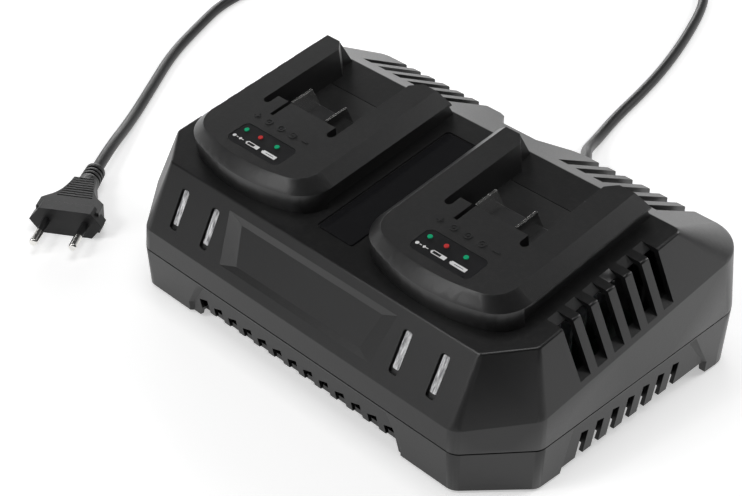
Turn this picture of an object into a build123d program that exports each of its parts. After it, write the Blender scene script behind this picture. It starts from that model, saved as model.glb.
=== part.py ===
from build123d import *
from math import cos, pi, radians, sin, tan
import os

# Two-dock battery charger. Millimetres, +Z up, origin on the ground under the middle of the housing.
# The housing is modelled square to its parting plane, which rises towards the rear.

os.makedirs("parts", exist_ok=True)

# ---- Stance of the housing
body_pitch = 3.2  # degrees that the parting plane rises towards the rear
top_tilt = 7.74  # further degrees that the top face rises
parting_height = 25.6  # parting plane over the ground, at the middle
stance_shift = -0.16  # keeps the origin under the middle of the pitched housing
foot_height = 1.2  # rubber that shows under the corner pillars

# ---- Housing outline at the parting plane
half_width = 115.9
half_depth = 79.0
corner_leg_x = 22.4  # front corners are cut off at an angle
corner_leg_y = 26.2
front_corner_radius = 7.0
rear_corner_radius = 14.0
shoulder_rear_radius = 19.0  # the rear corners open out towards the shoulder
band_draft = 0.7  # the upright band leans in this much
lower_draft = 1.8  # the lower shell leans in this much over its depth

# ---- Crown: four planar slopes from the shoulder to the top face
top_height = 47.4  # top face over the parting plane, at the middle
crown_height = 26.2  # shoulder plane under the top plane
top_half_width = 105.9
top_front = 63.2
top_rear = 38.6
top_leg_x = 14.7
top_leg_y = 16.6
top_corner_radius = 3.0
crest_round = 1.2
upper_wall = 2.5
crest_inset_share = 0.72  # walls of the steep slopes stay even in thickness

# ---- Cord recess in the rear wall
recess_floor_half = 10.0
recess_ramp_half = 20.0
recess_mouth_half = 27.0
recess_depth = 17.0
recess_ramp_depth = 4.0

# ---- Vents
vent_count = 6
side_vent_pitch = 10.24
side_vent_middle = -4.8
side_vent_width = 6.0
side_vent_inner = 102.0
side_vent_drop = 21.2
rear_vent_pitch = 9.45
rear_vent_middle = 59.6
rear_vent_width = 5.4
rear_vent_start = 52.6
rear_vent_drop = 8.0  # how far the rear vents run down the rear wall
vent_bevel = 4.0
vent_bevel_depth = 1.8
vent_ramp = 3.6  # how far that ramp runs into the shell
vent_lip = 0.6  # upright lip above the ramp at the foot of a side vent

# ---- Front face: recessed panel and four light slots
panel_depth = 1.4
panel_bottom = 4.9
panel_top = 28.0
panel_bottom_half = 45.0
panel_top_half = 49.8
panel_bevel_end = 7.9
panel_bevel_top = 3.4
panel_bevel_bottom = 2.8
light_slot_length = 18.9
light_slot_width = 4.8
light_slot_height = 15.9  # centre of the slot, up the slope from the shoulder
light_slot_inner = 57.2
light_slot_spacing = 20.0
light_slot_radius = 1.4
light_slot_depth = 1.4
light_guide_length = 16.2
light_guide_width = 3.2
light_guide_radius = 0.7
light_guide_raise = 0.8  # the guides sit towards the upper end of their slots
light_guide_sink = 1.0
light_guide_depth = 3.4
light_guide_clearance = 0.12

# ---- Slide docks
dock_spacing = 108.6
dock_half_width = 40.3
dock_front = 57.8
dock_rear = 37.6
dock_wall_height = 9.5
dock_height = 14.9
dock_front_radius = 90.0
dock_corner_radius = 16.0
plate_half_width = 34.2
plate_front = 53.1
plate_rear = 31.3
plate_front_radius = 96.0
plate_corner_radius = 12.0
rail_groove_depth = 3.2
rail_groove_low = 0.0
rail_groove_high = 8.3
rail_groove_front = 41.4
rail_groove_overrun = 1.0
pocket_half_width = 20.7
pocket_front = 13.9
channel_width = 4.0
channel_middle = 20.0
channel_front = 20.4
blade_slot_front = 24.8
blade_slot_width = 2.0
rail_end_chamfer = 6.0
dock_wall = 2.4
dock_floor = 2.4
dock_base_half_width = 29.6
dock_base_front = 47.6
dock_base_rear = 19.6
dock_seat_clearance = 0.3

# ---- Terminals
blade_spacing = 21.4
blade_clearance = 1.0  # from the terminal block to the channels
block_bevel = 1.5
blade_thickness = 1.2
blade_front = 12.6
blade_top_length = 11.8
blade_foot_length = 14.9
blade_height = 14.2
blade_root = 2.0
terminal_base_height = 4.0
terminal_base_length = 17.0
terminal_clearance = 0.3

# ---- Display label and LEDs
label_left = 14.8
label_right = 17.2
label_front = 47.9
label_rear = 34.8
label_radius = 3.0
label_sink = 0.5
label_thickness = 0.4
led_radius = 1.1
led_clearance = 0.1
led_row = 38.6
led_green_places = (-11.2, 8.0)
led_red_place = -2.4
led_proud = 0.25
led_board_length = 36.0
led_board_width = 9.0
led_board_thickness = 1.2
led_board_drop = 6.0
led_post_radius = 2.0
led_post_spacing = 31.0

# ---- Centre plate
centre_plate_half_width = 9.7
centre_plate_front = 51.4
centre_plate_rear = 26.2
centre_plate_thickness = 0.8
centre_plate_margin = 1.1
centre_plate_radius = 1.2

# ---- Lower shell
lower_wall = 3.2
floor_top = -15.6
floor_thickness = 2.4
groove_height = 0.6
groove_depth = 0.7
side_recess_sink = 2.2
side_recess_top = -1.3
side_recess_bevel = 2.0
side_recess_front = -34.0
side_recess_rear = 45.0
side_recess_lean_front = 5.5
side_recess_lean_rear = 13.0
side_teeth_bottom = -21.6
side_slot_count = 7
side_slot_pitch = 9.8
side_slot_middle = 6.2
side_slot_top = -10.5
side_slot_width = 4.4
side_slot_lean = 14.0  # degrees that the side slots lean to the rear
front_recess_half = 58.0
front_recess_lean = 8.0
front_teeth_bottom = -15.4
front_slot_count = 13
front_slot_pitch = 9.5
front_slot_top = -10.6
front_slot_width = 5.4
front_slot_lean = 18.0
rear_gap_half = 62.0
skirt_reach = 40.0  # deeper than the pillars, so the ground plane ends them

# ---- Feet and screws
foot_x = 92.0
foot_front_y = -60.0
foot_rear_y = 62.0
foot_radius = 8.0
foot_thickness = 2.2
foot_boss_radius = 9.8
foot_clearance = 0.05
screw_x = 76.0
screw_y = 60.0
screw_boss_radius = 5.0
screw_radius = 1.9
screw_clearance = 0.25
screw_grip_clearance = 0.05
screw_socket_radius = 1.4
screw_grip = 12.0
screw_head_radius = 3.6
screw_head_height = 2.4
screw_counterbore_radius = 4.2
screw_counterbore_depth = 4.5

# ---- Circuit board and what it carries
board_side_room = 19.9  # from the board's ends to the housing's outline
board_end_room = 29.0
board_thickness = 1.6
board_height = -13.4
standoff_inset_x = 8.0  # from the board's edges
standoff_inset_y = 7.0
standoff_radius = 3.5
board_screw_radius = 1.4
board_screw_clearance = 0.05
board_screw_head_radius = 2.8
board_screw_head_height = 1.8
transformer_x = -40.0
transformer_core = 42.0
transformer_width = 34.0
transformer_height = 30.0
transformer_yoke = 14.0
transformer_limb = 6.0
capacitor_radius = 11.0
capacitor_height = 32.0
capacitor_round = 1.2
capacitor_places = ((8.0, -18.0), (33.0, -18.0))
heat_sink_x = 70.0
heat_sink_length = 70.0
heat_sink_height = 26.0
heat_sink_base = 3.0
heat_sink_fin_depth = 9.0
heat_sink_fin_count = 9
heat_sink_fin_thickness = 1.6
choke_x = 40.0
choke_y = 20.0
choke_outer = 12.0
choke_inner = 6.0
choke_height = 10.0
choke_round = 2.0
fuse_x = 12.0
fuse_y = 26.0
fuse_length = 20.0
fuse_radius = 2.6
fuse_rise = 4.0
fuse_clip_width = 4.0
fuse_clip_wall = 0.8
connector_length = 22.0
connector_width = 12.0
connector_height = 10.0
inner_lead_length = 8.2
connector_screw_radius = 2.0

# ---- Cord
cord_diameter = 5.8
cord_exit_height = -8.0  # on the parting plane's normal
cord_first_run = 14.0
cord_last_run = 20.0
relief_length = 28.0
relief_root_radius = 6.4
relief_tip_radius = 4.0
relief_groove_count = 5
relief_groove_width = 2.0
relief_groove_depth = 0.9
relief_flange_radius = 8.4
relief_flange_thickness = 2.0
relief_neck_radius = 5.6
relief_neck_clearance = 0.1
relief_clip_radius = 7.0
relief_clip_thickness = 1.6
coil_mean_radius = 30.0
coil_width = 12.0
coil_height = 17.0
coil_corner = 2.8
coil_stub = 28.0
coil_lead_out = 22.0
coil_centre_x = -190.0
coil_centre_y = 345.0
tie_angle = 12.0
tie_thickness = 1.0

# ---- Plug: flat two-pin type
plug_x = -150.0
plug_y = -82.0
plug_heading = -54.2  # degrees from +X
plug_width = 35.3
plug_thickness = 13.7
plug_flange_length = 7.0
plug_corner = 5.2
plug_shoulder_half = 15.2
plug_shoulder_length = 14.5
plug_shoulder_round = 3.0
plug_flare_half = 11.5
plug_neck_half = 5.6
plug_neck_start = 32.0
plug_body_thickness = 11.0
plug_grip_count = 9
plug_grip_pitch = 2.0
plug_grip_start = 15.0
plug_grip_width = 0.6
plug_grip_share = 1.5
plug_grip_depth = 0.5
plug_tail_start = 28.0
plug_tail_end = 47.0
plug_tail_root = 5.5
plug_tail_tip = 4.9
plug_ring_count = 3
plug_ring_pitch = 3.0
plug_ring_width = 1.2
plug_ring_depth = 1.3
pin_spacing = 18.6
pin_radius = 2.0
pin_neck_radius = 1.6
pin_length = 19.0
pin_root = 6.0
pin_tip_round = 1.0
sleeve_radius = 1.8
sleeve_length = 10.0

cord_radius = cord_diameter / 2
clear_span = 4 * half_width  # past every side of the housing, for cuts that run out of it
board_half_length = half_width - board_side_room
board_half_width = half_depth - board_end_room
standoff_x = board_half_length - standoff_inset_x
standoff_y = board_half_width - standoff_inset_y
lead_start = half_depth - recess_depth - lower_wall - relief_clip_thickness
connector_y = lead_start - inner_lead_length - connector_width / 2


# ---- Frames
def pitched(origin, pitch):
    """An upward plane whose rear is raised by the pitch."""
    normal = (0, -sin(radians(pitch)), cos(radians(pitch)))
    return Plane(origin=origin, x_dir=(1, 0, 0), z_dir=normal)


parting = pitched((0, stance_shift, parting_height), body_pitch)
top = pitched(parting.from_local_coords((0, 0, top_height)), body_pitch + top_tilt)
shoulder = top.offset(-crown_height)


def along(plane, body_y):
    """Place along a tilted plane of a distance measured along the parting plane."""
    origin_y = parting.to_local_coords(plane.origin).Y
    return (body_y - origin_y) / cos(radians(top_tilt))


def across_x(plane, x):
    """The upright plane through x, seen from the right: local x runs to the rear."""
    origin = plane.from_local_coords((x, 0, 0))
    return Plane(origin=origin, x_dir=plane.y_dir, z_dir=plane.x_dir)


def across_y(plane, y):
    """The upright plane through y, seen from the front: local x runs to the right."""
    origin = plane.from_local_coords((0, y, 0))
    return Plane(origin=origin, x_dir=plane.x_dir, z_dir=-plane.y_dir)


shoulder_front = along(shoulder, -half_depth + band_draft)
shoulder_rear = along(shoulder, half_depth - band_draft)
front_low = shoulder.from_local_coords((0, shoulder_front, 0))
front_high = top.from_local_coords((0, -top_front, 0))
front_rise = (front_high - front_low).normalized()
front_face = Plane(origin=front_low, x_dir=(1, 0, 0), z_dir=Vector(1, 0, 0).cross(front_rise))


# ---- Shapes that more than one piece uses
def housing_outline(plane, width, front, rear, leg_x, leg_y, radii, inset=0.0):
    """Rectangle with its two front corners cut off and every corner rounded."""
    front_radius, rear_radius = radii
    with BuildSketch(plane) as outline:
        with BuildLine():
            Polyline(
                (width, rear),
                (-width, rear),
                (-width, front + leg_y),
                (leg_x - width, front),
                (width - leg_x, front),
                (width, front + leg_y),
                close=True,
            )
        make_face()
        corners = outline.vertices().sort_by(Axis.Y)
        fillet(corners[:4], front_radius)
        fillet(outline.vertices().sort_by(Axis.Y)[-2:], rear_radius)
        if inset:
            offset(amount=-inset, kind=Kind.INTERSECTION)
    return outline.sketch


def crown_blank(wall):
    """The closed form of the upper shell, drawn in by a wall on every side."""
    legs = (corner_leg_x, corner_leg_y)
    radii = (front_corner_radius, rear_corner_radius)
    base = housing_outline(parting, half_width, -half_depth, half_depth, *legs, radii, wall)
    waist = housing_outline(
        shoulder.offset(-wall),
        half_width - band_draft,
        shoulder_front,
        shoulder_rear,
        *legs,
        (front_corner_radius, shoulder_rear_radius),
        wall,
    )
    crest = housing_outline(
        top.offset(-wall),
        top_half_width,
        -top_front,
        top_rear,
        top_leg_x,
        top_leg_y,
        (top_corner_radius, top_corner_radius),
        wall * crest_inset_share,
    )
    with BuildPart() as blank:
        loft([base, waist], ruled=True)
        loft([waist, crest], ruled=True)
    return blank.part


def cord_recess(grow):
    """The notch in the rear wall that the cord leaves from, widened by a wall."""
    with BuildPart() as notch:
        with BuildSketch(parting):
            with BuildLine():
                Polyline(
                    (recess_floor_half, half_depth - recess_depth),
                    (recess_ramp_half, half_depth - recess_ramp_depth),
                    (recess_mouth_half, half_depth),
                    (recess_mouth_half, half_depth + recess_depth),
                    (-recess_mouth_half, half_depth + recess_depth),
                    (-recess_mouth_half, half_depth),
                    (-recess_ramp_half, half_depth - recess_ramp_depth),
                    (-recess_floor_half, half_depth - recess_depth),
                    close=True,
                )
            make_face()
            if grow:
                offset(amount=grow, kind=Kind.INTERSECTION)
        extrude(amount=top_height, both=True)
    return notch.part


def lower_blank(wall):
    """The lower shell's closed form from the parting plane down, drawn in by a wall."""
    legs = (corner_leg_x, corner_leg_y)
    radii = (front_corner_radius, rear_corner_radius)
    rim = housing_outline(parting, half_width, -half_depth, half_depth, *legs, radii, wall)
    hem = housing_outline(
        parting.offset(-skirt_reach),
        half_width,
        -half_depth,
        half_depth,
        *legs,
        radii,
        wall + lower_draft,
    )
    with BuildPart() as blank:
        loft([rim, hem], ruled=True)
    return blank.part


def dock_outline(plane, width, front, rear, front_radius, corner_radius):
    """D shape: straight sides and rear, a shallow arc in front with rounded corners."""
    sag = front_radius - (front_radius**2 - width**2) ** 0.5
    with BuildSketch(plane) as outline:
        with BuildLine():
            ThreePointArc((-width, sag - front), (0, -front), (width, sag - front))
            Polyline((width, sag - front), (width, rear), (-width, rear), (-width, sag - front))
        make_face()
        fillet(outline.vertices().sort_by(Axis.Y)[:2], corner_radius)
    return outline.sketch


# ---- Upper shell
side_slope = (half_width - band_draft - top_half_width) / crown_height

with BuildPart() as side_vents:
    for index in range(vent_count):
        place = side_vent_middle + (index - (vent_count - 1) / 2) * side_vent_pitch
        ramp_low = side_vent_drop + vent_bevel_depth + vent_lip
        ramp_out = top_half_width + side_slope * ramp_low
        ramp_in = ramp_out - vent_ramp
        beyond = half_width + vent_bevel
        ramp_run = (ramp_low - side_vent_drop) / (ramp_out - ramp_in)
        with BuildSketch(across_y(top, place)):
            with BuildLine():
                Polyline(
                    (side_vent_inner - vent_bevel, 0),
                    (side_vent_inner, -vent_bevel_depth),
                    (side_vent_inner, -side_vent_drop),
                    (ramp_in, -side_vent_drop),
                    (beyond, -ramp_low - ramp_run * (beyond - ramp_out)),
                    (beyond, vent_bevel),
                    (side_vent_inner - vent_bevel, vent_bevel),
                    close=True,
                )
            make_face()
        extrude(amount=side_vent_width / 2, both=True)

rear_slope = crown_height / (shoulder_rear - top_rear)

with BuildPart() as rear_vents:
    for index in range(vent_count):
        place = rear_vent_middle + (index - (vent_count - 1) / 2) * rear_vent_pitch
        start_depth = rear_slope * (rear_vent_start - top_rear)
        end_depth = crown_height + rear_vent_drop
        inner_end = shoulder_rear - 2 * upper_wall
        with BuildSketch(across_x(top, place)):
            with BuildLine():
                Polyline(
                    (rear_vent_start - vent_bevel, -start_depth + rear_slope * vent_bevel),
                    (rear_vent_start, -start_depth - vent_bevel_depth),
                    (inner_end, -end_depth),
                    (shoulder_rear + vent_bevel, -end_depth - vent_bevel),
                    (shoulder_rear + vent_bevel, vent_bevel),
                    (rear_vent_start - vent_bevel, vent_bevel),
                    close=True,
                )
            make_face()
        extrude(amount=rear_vent_width / 2, both=True)

with BuildPart() as panel_recess:
    with BuildSketch(front_face) as panel_mouth:
        with BuildLine():
            Polyline(
                (-panel_bottom_half, panel_bottom),
                (panel_bottom_half, panel_bottom),
                (panel_top_half, panel_top),
                (-panel_top_half, panel_top),
                close=True,
            )
        make_face()
    with BuildSketch(front_face.offset(-panel_depth)) as panel_floor:
        with BuildLine():
            Polyline(
                (panel_bevel_end - panel_bottom_half, panel_bottom + panel_bevel_bottom),
                (panel_bottom_half - panel_bevel_end, panel_bottom + panel_bevel_bottom),
                (panel_top_half - panel_bevel_end, panel_top - panel_bevel_top),
                (panel_bevel_end - panel_top_half, panel_top - panel_bevel_top),
                close=True,
            )
        make_face()
    loft(ruled=True)

light_slot_places = (
    (light_slot_inner, light_slot_height),
    (light_slot_inner + light_slot_spacing, light_slot_height),
)
light_guide_places = [(place, height + light_guide_raise) for place, height in light_slot_places]

with BuildPart() as light_slots:
    with BuildSketch(front_face):
        with Locations(*light_slot_places):
            RectangleRounded(light_slot_width, light_slot_length, light_slot_radius)
    extrude(amount=-light_slot_depth)
    with BuildSketch(front_face):
        with Locations(*light_guide_places):
            RectangleRounded(
                light_guide_width + 2 * light_guide_clearance,
                light_guide_length + 2 * light_guide_clearance,
                light_guide_radius + light_guide_clearance,
            )
    extrude(amount=-2 * upper_wall)
    mirror(about=Plane.YZ)

with BuildPart() as shell_bosses:
    with BuildSketch(parting):
        with GridLocations(2 * screw_x, 2 * screw_y, 2, 2):
            Circle(screw_boss_radius)
    extrude(amount=top_height)
    add(crown_blank(upper_wall / 2), mode=Mode.INTERSECT)

with BuildPart() as crown_cavity:
    add(crown_blank(upper_wall))
    add(cord_recess(upper_wall), mode=Mode.SUBTRACT)

with BuildPart() as upper_shell:
    add(crown_blank(0.0))
    fillet(upper_shell.faces().sort_by(Axis.Z)[-1].edges(), crest_round)
    add(cord_recess(0.0), mode=Mode.SUBTRACT)
    add(crown_cavity.part, mode=Mode.SUBTRACT)
    add(shell_bosses.part)
    add(side_vents.part, mode=Mode.SUBTRACT)
    add(mirror(side_vents.part, about=Plane.YZ), mode=Mode.SUBTRACT)
    add(rear_vents.part, mode=Mode.SUBTRACT)
    add(mirror(rear_vents.part, about=Plane.YZ), mode=Mode.SUBTRACT)
    add(panel_recess.part, mode=Mode.SUBTRACT)
    add(light_slots.part, mode=Mode.SUBTRACT)
    with BuildSketch(top):
        with Locations(
            (-dock_spacing / 2, (dock_base_rear - dock_base_front) / 2),
            (dock_spacing / 2, (dock_base_rear - dock_base_front) / 2),
        ):
            Rectangle(
                2 * (dock_base_half_width + dock_seat_clearance),
                dock_base_front + dock_base_rear + 2 * dock_seat_clearance,
            )
    extrude(amount=-2 * upper_wall, mode=Mode.SUBTRACT)
    with BuildSketch(top):
        with Locations((0, (centre_plate_rear - centre_plate_front) / 2)):
            RectangleRounded(
                2 * (centre_plate_half_width + centre_plate_margin),
                centre_plate_front + centre_plate_rear + 2 * centre_plate_margin,
                centre_plate_radius + centre_plate_margin,
            )
    extrude(amount=-centre_plate_thickness, mode=Mode.SUBTRACT)
    with BuildSketch(parting):
        with GridLocations(2 * screw_x, 2 * screw_y, 2, 2):
            Circle(screw_radius + screw_grip_clearance)
    extrude(amount=screw_grip, mode=Mode.SUBTRACT)
upper_shell.part.label = "upper_shell"
export_step(upper_shell.part, "parts/upper_shell.step")


# ---- Lower shell
hung = (Align.CENTER, Align.MAX)  # slots hang and turn from the middle of their top edge

with BuildPart() as side_recess:
    for depth, grow in ((half_width, 0.0), (half_width - side_recess_sink, side_recess_bevel)):
        with BuildSketch(Plane(parting.from_local_coords((depth, 0, 0)), parting.y_dir, parting.x_dir)):
            with BuildLine():
                Polyline(
                    (side_recess_front + grow, side_recess_top - grow),
                    (side_recess_front - side_recess_lean_front + grow, side_teeth_bottom),
                    (side_recess_front - side_recess_lean_front + grow, -skirt_reach),
                    (side_recess_rear + side_recess_lean_rear - grow, -skirt_reach),
                    (side_recess_rear + side_recess_lean_rear - grow, side_teeth_bottom),
                    (side_recess_rear - grow, side_recess_top - grow),
                    close=True,
                )
            make_face()
    loft(ruled=True)

with BuildPart() as side_gaps:
    with BuildSketch(Plane(parting.from_local_coords((0, 0, 0)), parting.y_dir, parting.x_dir)):
        with BuildLine():
            Polyline(
                (side_recess_front - side_recess_lean_front + side_recess_bevel, side_teeth_bottom),
                (side_recess_front - side_recess_lean_front - side_recess_bevel, -skirt_reach),
                (side_recess_rear + side_recess_lean_rear + side_recess_bevel, -skirt_reach),
                (side_recess_rear + side_recess_lean_rear - side_recess_bevel, side_teeth_bottom),
                close=True,
            )
        make_face()
        with Locations((side_slot_middle, side_slot_top)):
            with GridLocations(side_slot_pitch, 0, side_slot_count, 1):
                Rectangle(side_slot_width, skirt_reach, -side_slot_lean, align=hung)
    extrude(amount=half_width + lower_wall)
    with BuildSketch(parting):
        Rectangle(2 * (half_width - lower_wall - lower_draft), clear_span)
    extrude(amount=skirt_reach, both=True, mode=Mode.SUBTRACT)

with BuildPart() as front_recess:
    for depth, grow in ((half_depth, 0.0), (half_depth - side_recess_sink, side_recess_bevel)):
        with BuildSketch(Plane(parting.from_local_coords((0, -depth, 0)), parting.x_dir, -parting.y_dir)):
            with BuildLine():
                Polyline(
                    (front_recess_half - grow, side_recess_top - grow),
                    (front_recess_half + front_recess_lean - grow, front_teeth_bottom),
                    (front_recess_half + front_recess_lean - grow, -skirt_reach),
                    (-front_recess_half - front_recess_lean + grow, -skirt_reach),
                    (-front_recess_half - front_recess_lean + grow, front_teeth_bottom),
                    (grow - front_recess_half, side_recess_top - grow),
                    close=True,
                )
            make_face()
    loft(ruled=True)

with BuildPart() as front_gaps:
    with BuildSketch(Plane(parting.from_local_coords((0, 0, 0)), parting.x_dir, -parting.y_dir)):
        with BuildLine():
            Polyline(
                (front_recess_half, front_teeth_bottom),
                (front_recess_half + front_recess_lean, -skirt_reach),
                (-front_recess_half - front_recess_lean, -skirt_reach),
                (-front_recess_half, front_teeth_bottom),
                close=True,
            )
        make_face()
        with Locations((0, front_slot_top)):
            with GridLocations(front_slot_pitch, 0, front_slot_count, 1):
                Rectangle(front_slot_width, skirt_reach, front_slot_lean, align=hung)
    extrude(amount=half_depth + lower_wall)
    with BuildSketch(parting):
        Rectangle(clear_span, 2 * (half_depth - lower_wall - lower_draft))
    extrude(amount=skirt_reach, both=True, mode=Mode.SUBTRACT)

with BuildPart() as rear_gap:
    with BuildSketch(Plane(parting.from_local_coords((0, 0, 0)), parting.x_dir, -parting.y_dir)):
        with BuildLine():
            Polyline(
                (rear_gap_half, side_teeth_bottom),
                (rear_gap_half + front_recess_lean, -skirt_reach),
                (-rear_gap_half - front_recess_lean, -skirt_reach),
                (-rear_gap_half, side_teeth_bottom),
                close=True,
            )
        make_face()
    extrude(amount=-half_depth - lower_wall)
    with BuildSketch(parting):
        Rectangle(clear_span, 2 * (half_depth - lower_wall - lower_draft))
    extrude(amount=skirt_reach, both=True, mode=Mode.SUBTRACT)

floor_under = floor_top - floor_thickness
foot_places = (
    (-foot_x, foot_front_y),
    (foot_x, foot_front_y),
    (-foot_x, foot_rear_y),
    (foot_x, foot_rear_y),
)
exit_plane = Plane(
    origin=parting.from_local_coords((0, half_depth - recess_depth, cord_exit_height)),
    x_dir=(1, 0, 0),
    z_dir=parting.y_dir,
)

with BuildPart() as tub_cavity:
    with BuildSketch(parting.offset(floor_top)):
        Rectangle(clear_span, clear_span)
    extrude(amount=-floor_top)
    add(lower_blank(lower_wall), mode=Mode.INTERSECT)
    add(cord_recess(lower_wall), mode=Mode.SUBTRACT)

with BuildPart() as skirt_hollow:
    with BuildSketch(parting.offset(floor_under)):
        Rectangle(clear_span, clear_span)
    extrude(amount=-skirt_reach)
    add(lower_blank(lower_wall), mode=Mode.INTERSECT)
    add(cord_recess(lower_wall), mode=Mode.SUBTRACT)
    with BuildSketch(Plane.XY):
        with Locations(*foot_places):
            Circle(foot_boss_radius)
    extrude(amount=parting_height + top_height, both=True, mode=Mode.SUBTRACT)

with BuildPart() as parting_groove:
    add(lower_blank(0.0))
    add(lower_blank(groove_depth), mode=Mode.SUBTRACT)
    with BuildSketch(parting.offset(-groove_height)):
        Rectangle(clear_span, clear_span)
    extrude(amount=-2 * skirt_reach, mode=Mode.SUBTRACT)

with BuildPart() as tub_bosses:
    with BuildSketch(parting.offset(floor_top)):
        with GridLocations(2 * screw_x, 2 * screw_y, 2, 2):
            Circle(screw_boss_radius)
    extrude(amount=-floor_top)

with BuildPart() as board_standoffs:
    with BuildSketch(parting.offset(floor_top)):
        with GridLocations(2 * standoff_x, 2 * standoff_y, 2, 2):
            Circle(standoff_radius)
            Circle(board_screw_radius, mode=Mode.SUBTRACT)
    extrude(amount=board_height - floor_top)

with BuildPart() as lower_shell:
    add(lower_blank(0.0))
    split(bisect_by=Plane.XY.offset(foot_height), keep=Keep.TOP)
    add(cord_recess(0.0), mode=Mode.SUBTRACT)
    add(tub_cavity.part, mode=Mode.SUBTRACT)
    add(skirt_hollow.part, mode=Mode.SUBTRACT)
    add(side_recess.part, mode=Mode.SUBTRACT)
    add(mirror(side_recess.part, about=Plane.YZ), mode=Mode.SUBTRACT)
    add(front_recess.part, mode=Mode.SUBTRACT)
    add(side_gaps.part, mode=Mode.SUBTRACT)
    add(mirror(side_gaps.part, about=Plane.YZ), mode=Mode.SUBTRACT)
    add(front_gaps.part, mode=Mode.SUBTRACT)
    add(rear_gap.part, mode=Mode.SUBTRACT)
    add(parting_groove.part, mode=Mode.SUBTRACT)
    add(tub_bosses.part)
    add(board_standoffs.part)
    with BuildSketch(parting):
        with GridLocations(2 * screw_x, 2 * screw_y, 2, 2):
            Circle(screw_radius + screw_clearance)
    extrude(amount=-skirt_reach, mode=Mode.SUBTRACT)
    with BuildSketch(parting.offset(floor_under)):
        with GridLocations(2 * screw_x, 2 * screw_y, 2, 2):
            Circle(screw_counterbore_radius)
    extrude(amount=screw_counterbore_depth, mode=Mode.SUBTRACT)
    with BuildSketch(Plane.XY):
        with Locations(*foot_places):
            Circle(foot_radius + foot_clearance)
    extrude(amount=foot_thickness, mode=Mode.SUBTRACT)
    with BuildSketch(exit_plane):
        Circle(relief_neck_radius + relief_neck_clearance)
    extrude(amount=lower_wall, both=True, mode=Mode.SUBTRACT)
lower_shell.part.label = "lower_shell"
export_step(lower_shell.part, "parts/lower_shell.step")

with BuildPart() as rubber_feet:
    with BuildSketch(Plane.XY):
        with Locations(*foot_places):
            Circle(foot_radius)
    extrude(amount=foot_thickness)
    chamfer(rubber_feet.faces().group_by(Axis.Z)[0].edges(), foot_height / 2)
rubber_feet.part.label = "rubber_feet"
export_step(rubber_feet.part, "parts/rubber_feet.step")

with BuildPart() as housing_screws:
    with BuildSketch(parting.offset(floor_under + screw_counterbore_depth - screw_head_height)):
        with GridLocations(2 * screw_x, 2 * screw_y, 2, 2):
            Circle(screw_head_radius)
            RegularPolygon(screw_socket_radius, 6, mode=Mode.SUBTRACT)
    extrude(amount=screw_head_height)
    with BuildSketch(parting.offset(floor_under + screw_counterbore_depth - screw_head_height / 2)):
        with GridLocations(2 * screw_x, 2 * screw_y, 2, 2):
            Circle(screw_radius)
    extrude(amount=screw_grip - screw_head_height / 2 - floor_under - screw_counterbore_depth)
housing_screws.part.label = "housing_screws"
export_step(housing_screws.part, "parts/housing_screws.step")

# ---- Docks, built on the top plane at each side of the middle
display_length = label_left + label_right
display_width = label_front - label_rear
display_place = ((label_right - label_left) / 2, -(label_front + label_rear) / 2)
blade_places = (-blade_spacing / 2, blade_spacing / 2)
led_places = tuple((place, -led_row) for place in (*led_green_places, led_red_place))
board_level = dock_height - dock_wall - led_board_drop
pocket_length = pocket_front + dock_rear

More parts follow.
